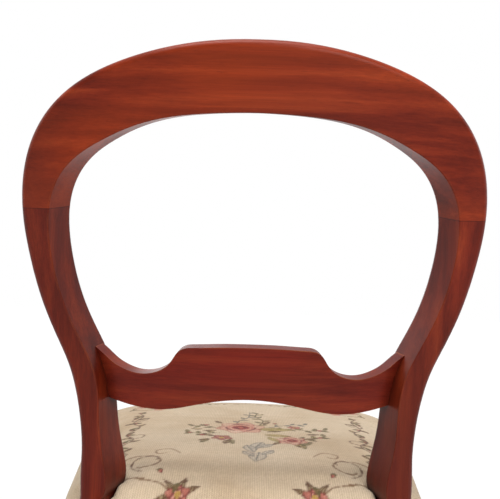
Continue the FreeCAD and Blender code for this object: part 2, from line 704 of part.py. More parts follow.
def seat_wire(height, side_in, back_in, radius, back_radius):
    """One level outline of the seat: a flared plan with rounded corners and a bowed front."""
    slant = math.sqrt(1 + SEAT_SPREAD ** 2)
    side_out = V(1 / slant, SEAT_SPREAD / slant, 0)
    front_y = -SEAT_FRONT_CORNER + side_in + radius
    front = V(seat_side(front_y, side_in) - radius * slant, front_y, 0)
    back_y = SEAT_BACK - back_in - back_radius
    back = V(seat_side(back_y, side_in) - back_radius * slant, back_y, 0)
    apex = -SEAT_FRONT + side_in
    rise = front.y - apex
    bow = (front.x ** 2 + rise ** 2 - radius ** 2) / (2 * (rise - radius))
    bow_centre = V(0, apex + bow, 0)
    front_out = (front - bow_centre).normalize()

    def corner(centre, size, first, second):
        middle = (first + second).normalize()
        return [centre + way * size for way in (first, middle, second)]

    right_side = [
        corner(back, back_radius, V(0, 1, 0), side_out),
        corner(front, radius, side_out, front_out),
    ]
    left_side = [[mirror_way(point) for point in reversed(arc)] for arc in reversed(right_side)]
    arcs = right_side + [[right_side[1][2], V(0, apex, 0), left_side[0][0]]] + left_side
    level = UP * height
    edges = []
    for number, arc in enumerate(arcs):
        edges.append(Part.Arc(*[point + level for point in arc]).toShape())
        following = arcs[(number + 1) % len(arcs)][0]
        if (following - arc[2]).Length > LAYER_GAP:
            edges.append(Part.LineSegment(arc[2] + level, following + level).toShape())
    return Part.Wire(edges)


def leg_cut(inset):
    """The space round the left rear leg that the upholstery keeps out of, with its rounded end."""
    inner, outer, outer_back, inner_back = block_plan(inset)
    corner_y = outer[1]
    side = seat_side(corner_y - NOTCH_ROUND, inset - LEG_GAP)
    bend = NOTCH_ROUND * (1 - math.sqrt(0.5))
    far = CUT_REACH
    low = SEAT_LOWEST - RAIL_HEIGHT
    edges = [
        line_edge(inner, outer, low),
        line_edge(outer, (side - NOTCH_ROUND, corner_y), low),
        arc_edge((side - NOTCH_ROUND, corner_y), (side - bend, corner_y - bend),
                 (side, corner_y - NOTCH_ROUND), low),
        line_edge((side, corner_y - NOTCH_ROUND), (far, corner_y - NOTCH_ROUND), low),
        line_edge((far, corner_y - NOTCH_ROUND), (far, far), low),
        line_edge((far, far), (inner_back[0], far), low),
        line_edge((inner_back[0], far), inner_back, low),
        line_edge(inner_back, inner, low),
    ]
    return Part.Face(Part.Wire(edges)).extrude(UP * CREST_TOP)


def cushion(sections, base, foot, inset, leg_gap, lowest):
    """A domed body through level outlines, set in all round, cut round the rear legs and cut off below."""
    wires = []
    for rise, side_in, back_in, radius, back_radius in sections:
        height = foot if rise is None else base + rise - inset
        wires.append(seat_wire(height, side_in + inset, back_in + inset,
                               radius - inset, back_radius - inset))
    body = Part.makeLoft(wires, True)
    cut = leg_cut(leg_gap + inset)
    tools = [cut, mirrored(cut)]
    if lowest > foot:
        size = 2 * CUT_REACH
        tools.append(Part.makeBox(size, size, size, V(-size / 2, -size / 2, lowest - size)))
    return body.cut(tools)


def seat_layer(inset, lowest):
    return cushion(SEAT_SECTIONS, RAIL_TOP, SEAT_LOWEST, inset, LEG_GAP, lowest)


def pad_layer(inset, lowest):
    return cushion(PAD_SECTIONS, HESSIAN_TOP, HESSIAN_TOP + LAYER_GAP, inset, PAD_LEG_GAP, lowest)


def frame_plan(grow, height):
    """The seat frame's outer plan, grown all round, as a level face."""
    back_y = BACK_RAIL_SETBACK + RAIL_THICKNESS + grow
    corner = side_rail_lines()[0]
    front_y = FRONT_BLOCK_FRONT - grow
    side = [
        (corner.x + grow, back_y),
        (corner.x + grow, corner.y),
        (FRONT_BLOCK_OUTER + grow, FRONT_BLOCK_BACK),
        (FRONT_BLOCK_OUTER + grow, front_y),
        (FRONT_BLOCK_INNER, front_y),
    ]
    other = [(-out, y) for out, y in reversed(side)]
    edges = [line_edge(start, end, height) for start, end in zip(side, side[1:])]
    edges.append(arc_edge(side[-1], (0, front_y - FRONT_RAIL_BOW), other[0], height))
    edges += [line_edge(start, end, height) for start, end in zip(other, other[1:])]
    edges.append(line_edge(other[-1], side[0], height))
    return Part.Face(Part.Wire(edges))


def leg_blocks(grow):
    """All four leg blocks, grown all round, tall enough to cut any layer of the seat."""
    low = RAIL_BOTTOM - RAIL_HEIGHT
    rear = solid_prism(block_plan(grow), low, RAIL_TOP + RAIL_HEIGHT)
    front = front_block_prism(grow)
    return [rear, mirrored(rear), front, mirrored(front)]


def seat_cover():
    """The top cover: a shell over the whole seat, turned under the rails."""
    shell = seat_layer(0, SEAT_LOWEST).cut(seat_layer(COVER_THICKNESS, COVER_FLOOR))
    window = frame_plan(-TURN_UNDER, SEAT_LOWEST - COVER_THICKNESS)
    window = window.extrude(UP * (2 * COVER_THICKNESS + LAYER_GAP))
    return shell.cut([window] + leg_blocks(LEG_GAP))


def strap(stops, across):
    """One woven strap along X as a ribbon, through places along it with the level that it has there."""
    under = [V(place, 0, level) for place, level in stops]
    over = [V(place, 0, level + STRAP_THICKNESS) for place, level in reversed(stops)]
    face = Part.Face(Part.makePolygon(under + over + under[:1]))
    ribbon = face.extrude(V(0, STRAP_WIDTH, 0))
    ribbon.translate(V(0, across - STRAP_WIDTH / 2, 0))
    return ribbon


def woven_stops(start, end, crossings):
    """Places and levels along a strap: over or under each strap that it crosses, flat on the rails."""
    over = RAIL_TOP + STRAP_THICKNESS + LAYER_GAP
    reach = STRAP_WIDTH / 2 + STRAP_RAMP_MARGIN
    stops = [(start, RAIL_TOP), (crossings[0][0] - reach - STRAP_RAMP, RAIL_TOP)]
    for place, is_over in crossings:
        level = over if is_over else RAIL_TOP
        stops.append((place - reach, level))
        stops.append((place + reach, level))
    stops.append((crossings[-1][0] + reach + STRAP_RAMP, RAIL_TOP))
    stops.append((end, RAIL_TOP))
    return stops


def tack(place, way, grow=0):
    """A tack whose head lies on a surface, driven up or down; grown, it is the hole for one."""
    if grow:
        return Part.makeCylinder(TACK_SHANK_RADIUS + grow, TACK_LENGTH + grow, place, UP * way)
    profile = [
        (0, -TACK_HEAD_THICKNESS),
        (TACK_HEAD_RADIUS, -TACK_HEAD_THICKNESS / 3),
        (TACK_HEAD_RADIUS, 0),
        (TACK_SHANK_RADIUS, 0),
        (TACK_SHANK_RADIUS, TACK_LENGTH - TACK_TIP),
        (0, TACK_LENGTH),
    ]
    points = [place + V(radius, 0, length * way) for radius, length in profile]
    face = Part.Face(Part.makePolygon(points + points[:1]))
    return face.revolve(place, UP, 360)


def add_tacks(parts, group, places, way, nodes):
    """Adds tacks to their group and pierces the pieces that they hold."""
    parts.setdefault(group, []).extend(tack(place, way) for place in places)
    holes = [tack(place, way, TACK_FIT) for place in places]
    for node in nodes:
        parts[node] = parts[node].cut(holes)


def add_webbing(parts):
    """Woven straps from rail to rail, tacked at both ends."""
    long_places = [(number - (LONG_STRAPS - 1) / 2) * LONG_STRAP_PITCH for number in range(LONG_STRAPS)]
    cross_places = [-CROSS_STRAP_START - number * CROSS_STRAP_PITCH for number in range(CROSS_STRAPS)]
    cross_places.reverse()
    tack_rows = [(number - (TACKS_PER_STRAP_END - 1) / 2) * STRAP_TACK_SPACING
                 for number in range(TACKS_PER_STRAP_END)]
    tack_level = RAIL_TOP + STRAP_THICKNESS
    long_straps = []
    cross_straps = []
    tacks = {"front_seat_rail": [], "back_seat_rail": [], "left_seat_rail": [], "right_seat_rail": []}
    for column, out in enumerate(long_places):
        start = front_rail_face(abs(out) + STRAP_WIDTH / 2) + STRAP_END_MARGIN
        end = BACK_RAIL_SETBACK + RAIL_THICKNESS - STRAP_END_MARGIN
        crossings = [(y, (column + row) % 2 == 0) for row, y in enumerate(cross_places)]
        ribbon = strap(woven_stops(start, end, crossings), -out)
        ribbon.rotate(V(0, 0, 0), UP, 90)
        long_straps.append(ribbon)
        for aside in tack_rows:
            tacks["front_seat_rail"].append(V(out + aside, start + STRAP_TACK_MARGIN, tack_level))
            tacks["back_seat_rail"].append(V(out + aside, end - STRAP_TACK_MARGIN, tack_level))
    for row, y in enumerate(cross_places):
        end = side_rail_face(y + STRAP_WIDTH / 2) - STRAP_END_MARGIN
        crossings = [(out, (column + row) % 2 == 1) for column, out in enumerate(long_places)]
        cross_straps.append(strap(woven_stops(-end, end, crossings), y))
        for aside in tack_rows:
            tacks["left_seat_rail"].append(V(end - STRAP_TACK_MARGIN, y + aside, tack_level))
            tacks["right_seat_rail"].append(V(STRAP_TACK_MARGIN - end, y + aside, tack_level))
    parts["long_webbing"] = Part.makeCompound(long_straps)
    parts["cross_webbing"] = Part.makeCompound(cross_straps)
    for rail, places in tacks.items():
        strap_node = "long_webbing" if rail in ("front_seat_rail", "back_seat_rail") else "cross_webbing"
        add_tacks(parts, "webbing_tacks", places, -1, (rail, strap_node))


def add_upholstery(parts):
    """The seat's layers from the hessian up, and the cloth underneath."""
    hessian = frame_plan(-HESSIAN_MARGIN, HESSIAN_LOW).extrude(UP * HESSIAN_THICKNESS)
    parts["hessian"] = hessian.cut(leg_blocks(LEG_GAP)[:2])
    parts["first_stuffing"] = pad_layer(0, SEAT_LOWEST)
    wadding_in = COVER_THICKNESS + SOFT_GAP
    calico_in = wadding_in + WADDING_THICKNESS + SOFT_GAP
    stuffing_in = calico_in + CALICO_THICKNESS + SOFT_GAP
    calico = seat_layer(calico_in, RAIL_BOTTOM + CALICO_RISE)
    parts["calico_cover"] = calico.cut(seat_layer(calico_in + CALICO_THICKNESS, SEAT_LOWEST))
    wadding = seat_layer(wadding_in, RAIL_BOTTOM + WADDING_RISE)
    parts["wadding"] = wadding.cut(seat_layer(wadding_in + WADDING_THICKNESS, SEAT_LOWEST))
    frame_top = HESSIAN_TOP + LAYER_GAP
    frame = frame_plan(LEG_GAP, SEAT_LOWEST).extrude(UP * (frame_top - SEAT_LOWEST))
    stuffing = seat_layer(stuffing_in, RAIL_BOTTOM + STUFFING_RISE)
    parts["second_stuffing"] = stuffing.cut([frame, pad_layer(-SOFT_GAP, SEAT_LOWEST)])
    parts["seat_cover"] = seat_cover()
    cloth_low = CLOTH_TOP - BOTTOM_CLOTH_THICKNESS
    cloth = frame_plan(-BOTTOM_CLOTH_MARGIN, cloth_low).extrude(UP * BOTTOM_CLOTH_THICKNESS)
    parts["bottom_cloth"] = cloth.cut(leg_blocks(LEG_GAP))


def spread(low, high, count):
    """Evenly spaced numbers from one end to the other."""
    return [low + (high - low) * number / (count - 1) for number in range(count)]


def add_bottom_tacks(parts):
    """Tacks through the bottom cloth and the turned-under cover into each rail."""
    level = CLOTH_TOP - BOTTOM_CLOTH_THICKNESS
    held = ("bottom_cloth", "seat_cover")
    back_end = block_plan(0)[0][0] - BOTTOM_TACK_END_GAP
    back_y = BACK_RAIL_SETBACK + RAIL_THICKNESS - BOTTOM_TACK_MARGIN
    back_places = [V(out, back_y, level) for out in spread(-back_end, back_end, BACK_TACKS)]
    front_end = FRONT_BLOCK_INNER - BOTTOM_TACK_END_GAP
    front_places = [V(out, front_rail_face(out) + BOTTOM_TACK_MARGIN, level)
                    for out in spread(-front_end, front_end, FRONT_TACKS)]
    back, front, forward, inward = side_rail_lines()
    length = (front - back).Length
    line = back + inward * BOTTOM_TACK_MARGIN + UP * level
    side_places = [line + forward * along
                   for along in spread(BOTTOM_TACK_END_GAP, length - BOTTOM_TACK_END_GAP, SIDE_TACKS)]
    other_places = [mirror_way(place) for place in side_places]
    rails = [
        ("back_seat_rail", back_places),
        ("front_seat_rail", front_places),
        ("left_seat_rail", side_places),
        ("right_seat_rail", other_places),
    ]
    for rail, places in rails:
        add_tacks(parts, "underside_tacks", places, 1, (rail,) + held)


def add_frame(parts):
    """The show-wood frame and the seat rails, before any holes."""
    stations = balloon_stations()
    curve = balloon_curve(stations)
    run = balloon(stations, curve)
    room = below_joint(stations, curve)
    leg = rear_leg(run, room, stations, curve)
    rail = side_rail()
    front = front_leg()
    parts["crest_rail"] = run.cut([room, mirrored(room)])
    parts["left_rear_leg"] = leg
    parts["right_rear_leg"] = mirrored(leg)
    parts["mid_rail"] = mid_rail([leg, mirrored(leg)])
    parts["back_seat_rail"] = back_rail()
    parts["front_seat_rail"] = front_rail()
    parts["left_seat_rail"] = rail
    parts["right_seat_rail"] = mirrored(rail)
    parts["left_front_leg"] = front
    parts["right_front_leg"] = mirrored(front)


def build():
    parts = {}
    add_frame(parts)
    add_corner_blocks(parts)
    add_joinery(parts)
    add_webbing(parts)
    add_upholstery(parts)
    add_bottom_tacks(parts)
    shapes = {}
    for node, shape in parts.items():
        pieces = shape if isinstance(shape, list) else [shape]
        solids = [solid for piece in pieces for solid in piece.Solids]
        shapes[node] = solids[0] if len(solids) == 1 else Part.makeCompound(solids)
    return shapes


def save(shapes):
    """Centres the chair front to back and writes one file for each node."""
    boxes = [shape.optimalBoundingBox() for shape in shapes.values()]
    middle = (min(box.YMin for box in boxes) + max(box.YMax for box in boxes)) / 2
    os.makedirs("parts", exist_ok=True)
    for node, shape in shapes.items():
        shape.translate(V(0, -middle, 0))
        shape.exportStep("parts/" + node + ".step")
        state = "valid" if shape.isValid() else "BAD"
        print(node, len(shape.Solids), "solid(s)", round(shape.Volume), "mm3", state)
    print("moved back by", round(-middle, 3))


save(build())
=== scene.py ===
# %% [markdown]
# # A balloon back dining chair
# The chair is a show-wood frame in French polished mahogany, with an arched back that narrows to a waist like a
# balloon, and a stuffed-over seat in floral petit point. The CAD model gives every joint and size. Here the visible
# skins get their looks: the wood its figure, polish and wear, and the seat its cloth.

# %% Load the frame
import json
import math
from functools import partial

import bmesh
import bpy
import numpy as np
from mathutils import Matrix, Vector

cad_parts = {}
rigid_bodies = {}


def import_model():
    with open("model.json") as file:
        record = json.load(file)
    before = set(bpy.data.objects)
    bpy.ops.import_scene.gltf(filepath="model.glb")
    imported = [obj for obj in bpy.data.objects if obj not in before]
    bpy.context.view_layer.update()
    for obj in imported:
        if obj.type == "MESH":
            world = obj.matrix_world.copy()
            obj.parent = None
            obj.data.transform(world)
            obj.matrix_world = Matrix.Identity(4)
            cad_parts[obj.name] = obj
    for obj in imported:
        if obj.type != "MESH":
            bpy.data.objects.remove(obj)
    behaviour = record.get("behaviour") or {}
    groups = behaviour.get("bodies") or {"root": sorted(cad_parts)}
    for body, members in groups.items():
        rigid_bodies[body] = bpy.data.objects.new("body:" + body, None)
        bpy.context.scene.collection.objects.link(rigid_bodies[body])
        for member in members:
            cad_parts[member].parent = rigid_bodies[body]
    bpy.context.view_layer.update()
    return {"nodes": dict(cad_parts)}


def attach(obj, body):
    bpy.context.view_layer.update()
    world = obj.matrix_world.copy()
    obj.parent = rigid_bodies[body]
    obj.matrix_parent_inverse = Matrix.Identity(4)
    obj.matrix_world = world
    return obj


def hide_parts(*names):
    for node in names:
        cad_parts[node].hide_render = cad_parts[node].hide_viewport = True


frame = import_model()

nodes = frame["nodes"]
MM = 0.001

# %% [markdown]
# ## Helpers
# Colours are picked as sRGB hex codes, as a paint chart has them, but shaders work in linear light, so one function
# turns one into the other. A second one adds a shader node with its settings and links in a line, which keeps each
# material short enough to read. A third makes patches and fibres of a real size out of noise.


# %% Colour and node helpers
def srgb(code):
    """An sRGB hex colour as linear red, green, blue and alpha."""
    values = [int(code[start:start + 2], 16) / 255 for start in (1, 3, 5)]
    linear = [v / 12.92 if v <= 0.04045 else ((v + 0.055) / 1.055) ** 2.4 for v in values]
    return (*linear, 1.0)


def add_node(tree, kind, *values, out=0, stops=(), **settings):
    """Adds a shader node and gives its output, or all of them where out is None.

    Values go to its sockets in order, or by number or name in one dictionary, and another node's output is linked.
    Stops are a colour ramp's (place, hex colour) pairs, and the settings are the node's properties.
    """
    node = tree.nodes.new("ShaderNode" + kind)
    for key, value in settings.items():
        setattr(node, key, value)
    sockets = values[0] if values and isinstance(values[0], dict) else dict(enumerate(values))
    for key, value in sockets.items():
        if isinstance(value, bpy.types.NodeSocket):
            tree.links.new(value, node.inputs[key])
        else:
            node.inputs[key].default_value = value
    if stops:
        elements = node.color_ramp.elements
        while len(elements) < len(stops):
            elements.new(0.5)
        for element, (place, code) in zip(elements, stops):
            element.position = place
            element.color = srgb(code)
    return node.outputs if out is None else node.outputs[out]


def new_material(name):
    """An empty material, and the function that adds nodes to it."""
    material = bpy.data.materials.new(name)
    material.use_nodes = True
    material.node_tree.nodes.clear()
    return material, partial(add_node, material.node_tree)


def grain(add, vector, sizes_mm, detail=2.0, rough=0.5, distortion=0.0):
    """Noise whose spots are as long in X, Y and Z as sizes_mm says."""
    place = add("Mapping", {"Vector": vector, "Scale": tuple(1000.0 / size for size in sizes_mm)})
    return add("TexNoise", {"Vector": place, "Scale": 1.0, "Detail": detail, "Roughness": rough,
                            "Distortion": distortion}, out="Fac")


# A Mix node for colours takes its factor at socket 0 and its colours at 6 and 7, and gives the result at 2
COLOURS = {"out": 2, "data_type": "RGBA"}


def dress(piece, material):
    """Gives a piece one material."""
    piece.data.materials.clear()
    piece.data.materials.append(material)


print("helpers ready")

# %% [markdown]
# ## Mahogany under French polish
# Mahogany is a reddish brown hardwood with long soft bands, a fine fibre and short open pores. French polish, which
# is shellac rubbed on with a pad, fills the pores and leaves a thin, warm, glossy film. The grain runs along each
# board, so the arch and the mid rail carry it from side to side and the legs carry it upright. One function makes
# the material, and only the way of the grain and the part of the board change. The sharp edges show paler, partly
# where handling has worn the film off and partly as a painted highlight, and the inner corners are darkened with
# painted shade, along with the wax that has gone dark there.


# %% The joints' planes
# The planes where the crest rail meets the stiles: their slopes across, front to back and upright, and their height
JOINT_SLOPES = (0.016, 0.272, 1.0)
JOINT_LEVEL = 792.0 * MM


def joint_distance(add, place):
    """How far a point is from the planes where the crest rail meets the stiles, which are behind the middle."""
    folded = add("VectorMath", place, operation="ABSOLUTE")
    level = add("VectorMath", folded, JOINT_SLOPES, out="Value", operation="DOT_PRODUCT")
    return add("Math", add("Math", level, JOINT_LEVEL, operation="SUBTRACT"), operation="ABSOLUTE")


print("joint planes at", JOINT_LEVEL, "m on the centre line")


# %% The wood material
def polished_mahogany(name, turn, shift_mm, tone_and_painted_light=0.0, stain="#6A1C10", fade=None):
    """French polished mahogany. turn, in degrees, brings the grain onto X. tone lightens or darkens the whole copy,
    partly as the board's own tone and partly as painted light and shade. fade paints shade: it is an axis, where the
    colour starts to darken along it and where it ends, in mm, and how dark it gets."""
    material, add = new_material(name)
    place = add("TexCoord", out="Object")
    board = add("Mapping", {
        "Vector": place,
        "Location": tuple(value * MM for value in shift_mm),
        "Rotation": tuple(math.radians(angle) for angle in turn),
    })
    # Growth bands, 5 to 15 mm wide and several hundred long
    bands = grain(add, board, (620, 24, 14), 3.0, 0.55, 0.15)
    stops = [(0.30, "#441006"), (0.45, "#58180A"), (0.56, "#68200E"), (0.72, "#7C2E15")]
    colour = add("ValToRGB", bands, stops=stops)
    # Patches of redder and browner stain, the size of a hand
    patches = grain(add, board, (190, 90, 80), 2.0, 0.5)
    patch_share = add("MapRange", patches, 0.38, 0.68, 0.0, 0.5)
    colour = add("Mix", {0: patch_share, 6: colour, 7: srgb(stain)}, **COLOURS)
    # Fibre, drawn 1 mm wide so that it shows at this distance. The tone lightens or darkens it all, partly as the
    # board's own tone and partly as painted light and shade
    fibre = grain(add, board, (110, 1.5, 1.1), 3.0, 0.6)
    fibre_tone_and_painted_light = add("MapRange", fibre, 0.30, 0.72, 0.82 + tone_and_painted_light, 1.18 + tone_and_painted_light)
    colour = add("Mix", {0: 1.0, 6: colour, 7: fibre_tone_and_painted_light}, blend_type="MULTIPLY", **COLOURS)
    # Open pores: dark dashes 6 mm long, drawn half a millimetre wide
    pores = grain(add, board, (12, 0.6, 0.6), 1.0, 0.4)
    pore_share = add("MapRange", pores, 0.66, 0.78, 0.0, 0.3)
    colour = add("Mix", {0: pore_share, 6: colour, 7: srgb("#2C0C06")}, **COLOURS)
    # Painted shade: the colour darkens along the fade's axis towards #3E1009
    if fade:
        axis, start, end, darkest = fade
        along = add("SeparateXYZ", place, out=axis)
        darker = add("MapRange", along, start * MM, end * MM, 0.0, darkest)
        colour = add("Mix", {0: darker, 6: colour, 7: srgb("#3E1009")}, **COLOURS)
    # Inner corners darkened where ambient occlusion finds them: painted shade, with the dark wax that gathers there
    hollow = add("AmbientOcclusion", {"Distance": 24 * MM}, out="AO", samples=6, only_local=False)
    wax_and_painted_shade = add("MapRange", hollow, 0.35, 0.85, 0.85, 0.0)
    colour = add("Mix", {0: wax_and_painted_shade, 6: colour, 7: srgb("#1A0503")}, **COLOURS)
    # Edges paler in places, partly rubbed wear and partly a painted highlight: the rounded normal departs from the
    # true one only near a sharp edge
    rounded = add("Bevel", {"Radius": 1.8 * MM}, samples=6)
    true_normal = add("NewGeometry", out="Normal")
    same = add("VectorMath", rounded, true_normal, out="Value", operation="DOT_PRODUCT")
    edge = add("MapRange", same, 0.995, 0.86)
    edge_patches = grain(add, place, (34, 34, 34), 3.0, 0.6)
    from_joint = joint_distance(add, place)
    # The pale edges keep clear of the darkened inner corners and of the glue line between the crest rail and a stile,
    # which is closed and dark
    wear_and_painted_highlight = edge
    for limit in (add("MapRange", edge_patches, 0.40, 0.66, 0.12, 0.8), add("MapRange", wax_and_painted_shade, 0.0, 0.2, 1.0, 0.0),
                  add("MapRange", from_joint, 2.5 * MM, 5 * MM)):
        wear_and_painted_highlight = add("Math", wear_and_painted_highlight, limit, operation="MULTIPLY")
    colour = add("Mix", {0: wear_and_painted_highlight, 6: colour, 7: srgb("#9C5A36")}, **COLOURS)
    glue = add("MapRange", from_joint, 0.1 * MM, 0.5 * MM, 0.55, 0.0)
    colour = add("Mix", {0: glue, 6: colour, 7: srgb("#220805")}, **COLOURS)
    # The film: smooth, with faint cloudy rubbing marks, matt where it is worn and thin over the pores
    cloud = grain(add, place, (70, 70, 70), 4.0, 0.6)
    film = add("MapRange", cloud, 0.3, 0.7, 0.30, 0.46)
    rough = add("Math", wear_and_painted_highlight, 0.25, film, operation="MULTIPLY_ADD")
    ripple = grain(add, place, (24, 24, 24), 2.0, 0.5)
    height = add("Math", add("Math", fibre, 0.5, operation="MULTIPLY"), pore_share, operation="SUBTRACT")
    height = add("Math", ripple, 1.6, height, operation="MULTIPLY_ADD")
    bump = add("Bump", {"Height": height, "Strength": 0.2, "Distance": 0.35 * MM})
    # Shellac and wax that have gone dull reflect less than fresh varnish, so the level is low
    shader = add("BsdfPrincipled", {
        "Base Color": colour, "Roughness": rough, "Normal": bump, "IOR": 1.5,
        "Specular IOR Level": 0.12, "Coat Weight": 0.05, "Coat Roughness": 0.16, "Coat IOR": 1.5,
    })
    add("OutputMaterial", shader, out=None)
    return material


# %% Dress the show wood
# Turns that bring an upright or a level grain onto X
UPRIGHT = (0, 90, 0)
ALONG = (0, 0, 0)
# The fourth number is the tone: partly the boards' own and partly painted light and shade, lighter on the crest and
# the right stile and darker on the left stile. The fades paint shade: the crest darker towards its end at +X, the
# right stile towards its foot
wood = {
    "crest_rail": polished_mahogany("mahogany_crest", ALONG, (0, 0, 0), 0.25, "#8A3210", (0, 150, 205, 0.42)),
    "mid_rail": polished_mahogany("mahogany_mid_rail", ALONG, (310, 40, 170), 0.04, "#70180D"),
    "left_rear_leg": polished_mahogany("mahogany_left_stile", UPRIGHT, (90, 60, 20), -0.14),
    "right_rear_leg": polished_mahogany("mahogany_right_stile", UPRIGHT, (520, 10, 330), 0.16,
                                        fade=(2, 690, 530, 0.6)),
    "left_front_leg": polished_mahogany("mahogany_left_front_leg", UPRIGHT, (40, 330, 110)),
    "right_front_leg": polished_mahogany("mahogany_right_front_leg", UPRIGHT, (210, 130, 450)),
}
for node, material in wood.items():
    dress(nodes[node], material)
    print(node, material.name)

# %% [markdown]
# ## The seat's shape
# A stuffed-over seat is webbing, hessian, hair and wadding built up on the rails, with the cover pulled over all of
# it and tacked underneath. It is fullest just above the rails and draws in below, where the tacks pull. The form
# starts from level outlines joined into a closed body, is cut out round the back posts, and is then swollen as cloth
# so that every edge turns over softly, as stuffing behind a tight cover makes it do.

# %% Seat outlines
# Everything here is in mm and, until SHIFT moves it, seen from the line through the fronts of the back posts
SHIFT = 154.88
FOOT = 372.4
TURN = math.radians(10.0)
# The back post's square block, turned outwards by TURN
BLOCK = {"middle": 131.31, "width": 34.0, "depth": 40.0}
# Front and back end of the stile's inner face where it comes out of the seat
STILE_INNER = (Vector((117.0, 5.0)), Vector((129.6, 47.0)))
# Height, drawn in at front and sides, drawn in at the back, corner radius, back corner radius
SEAT_ROWS = [
    (FOOT, 20.0, 3.6, 20.0, 9.0),
    (386.0, 15.6, 2.4, 29.0, 9.3),
    (400.0, 11.8, 1.4, 36.0, 9.5),
    (426.0, 3.2, 0.0, 50.0, 10.5),
    (443.0, -0.8, -0.6, 58.0, 12.0),
    (457.0, 4.5, 1.4, 64.0, 15.0),
    (467.6, 15.6, 6.0, 72.0, 23.0),
    (475.0, 33.5, 15.0, 80.0, 35.0),
    (480.6, 62.5, 35.0, 86.0, 48.0),
    (484.0, 102.5, 67.0, 86.0, 50.0),
]
# The widest level in plan: its back line, the line where its front corners start, the tip of its bowed front, half
# its width level with the back posts, and half its width where it is 364 mm further forward
SEAT_BACK = 40.0
SEAT_CORNERS = -422.0
SEAT_NOSE = -442.0
SEAT_BACK_HALF = 178.05
SEAT_SPREAD = (245.0 - SEAT_BACK_HALF) / 364.0
SLANT = math.sqrt(1 + SEAT_SPREAD ** 2)


def seat_side(y, drawn_in):
    """Half the seat's width at a place front to back."""
    return SEAT_BACK_HALF - y * SEAT_SPREAD - drawn_in * SLANT


def seat_outline(side_in, back_in, radius, back_radius):
    """Points round one level outline of the seat, the same number for every level."""
    side_out = Vector((1 / SLANT, SEAT_SPREAD / SLANT))
    front_y = SEAT_CORNERS + side_in + radius
    front = Vector((seat_side(front_y, side_in) - radius * SLANT, front_y))
    back_y = SEAT_BACK - back_in - back_radius
    back = Vector((seat_side(back_y, side_in) - back_radius * SLANT, back_y))
    # The front is an arc that runs through the nose and meets both corner arcs smoothly
    apex = SEAT_NOSE + side_in
    rise = front.y - apex
    bow = (front.x ** 2 + rise ** 2 - radius ** 2) / (2 * (rise - radius))
    bow_centre = Vector((0, apex + bow))
    front_out = (front - bow_centre).normalized()

    def arc(centre, size, first, second, count):
        start = math.atan2(first.y, first.x)
        sweep = first.angle_signed(second)
        return [centre + Vector((math.cos(start - sweep * share), math.sin(start - sweep * share))) * size
                for share in np.linspace(0, 1, count)]

    # Each stretch gets so many points that they lie some 3 to 15 mm apart
    half = arc(back, back_radius, Vector((0, 1)), side_out, 9)
    corner = arc(front, radius, side_out, front_out, 15)
    side = [half[-1].lerp(corner[0], share) for share in np.linspace(0, 1, 30)[1:-1]]
    bow_end = math.atan2(front_out.x, -front_out.y)
    nose = [bow_centre + Vector((math.sin(angle), -math.cos(angle))) * bow
            for angle in np.linspace(bow_end, 0, 16)[1:]]
    points = [Vector((half[0].x * share, half[0].y)) for share in np.linspace(0, 1, 12)[:-1]]
    points += half + side + corner + nose
    mirror = [Vector((-point.x, point.y)) for point in reversed(points[1:-1])]
    return points + mirror


print("seat outlines:", len(SEAT_ROWS), "levels of", len(seat_outline(*SEAT_ROWS[0][1:])), "points")


# %% A body through outlines
def stacked(levels):
    """A closed body through level outlines from the bottom up, given in mm from the line of the posts."""
    shape = bmesh.new()
    rings = []
    for height, outline in levels:
        ring = bmesh.ops.create_circle(shape, segments=len(outline), radius=1.0)["verts"]
        for vert, point in zip(ring, outline):
            vert.co = Vector((point.x, point.y + SHIFT, height)) * MM
        rings.append(set(ring))
    for lower, upper in zip(rings, rings[1:]):
        edges = [edge for ring in (lower, upper) for edge in shape.edges if set(edge.verts) <= ring]
        bmesh.ops.bridge_loops(shape, edges=edges)
    for ring in (rings[0], rings[-1]):
        rim = [edge for edge in shape.edges if set(edge.verts) <= ring]
        bmesh.ops.contextual_create(shape, geom=rim)
    bmesh.ops.recalc_face_normals(shape, faces=shape.faces)
    return shape


def mesh_object(name, shape):
    """An object from a bmesh, in the scene."""
    mesh = bpy.data.meshes.new(name)
    shape.to_mesh(mesh)
    shape.free()
    made = bpy.data.objects.new(name, mesh)
    bpy.context.scene.collection.objects.link(made)
    return made


seat = mesh_object("tapestry_cover", stacked([(height, seat_outline(*row)) for height, *row in SEAT_ROWS]))
print("seat body:", len(seat.data.vertices), "points")

# %% Room for the posts
# How far the upholstery keeps from a post, how far out is clear of the seat, and the front of that space beside the
# post: how far out each point is, and how far forward of the block's outer corner
GROW = 0.7
CLEAR = 300.0
BESIDE = ((165.0, 0.0), (174.0, 3.0), (180.0, 12.0), (CLEAR, 16.0))


def post_space(side):
    """The room round one back post that the upholstery keeps out of: the block, drawn in to the stile above it."""
    outward = Vector((math.cos(TURN), -math.sin(TURN)))
    backward = Vector((math.sin(TURN), math.cos(TURN)))
    half = BLOCK["width"] / 2 + GROW
    middle = Vector((BLOCK["middle"], 0))
    inner = middle - outward * half - backward * GROW
    outer = middle + outward * half - backward * GROW
    inner_back = middle - outward * half + backward * (BLOCK["depth"] + GROW)
    rest = [outer] + [Vector((out, outer.y - forward)) for out, forward in BESIDE] + [Vector((CLEAR, CLEAR))]
    block = [inner] + rest + [Vector((inner_back.x, CLEAR)), inner_back]
    stile = [STILE_INNER[0]] + rest + [Vector((STILE_INNER[1].x, CLEAR)), STILE_INNER[1]]
    # The block's top is at 438 mm, and at 470 mm the post has narrowed to the stile
    levels = ((CLEAR, block), (438.0, block), (470.0, stile), (600.0, stile))
    mirrored = [(height, [Vector((side * point.x, point.y)) for point in plan]) for height, plan in levels]
    return mesh_object("post_space", stacked(mirrored))


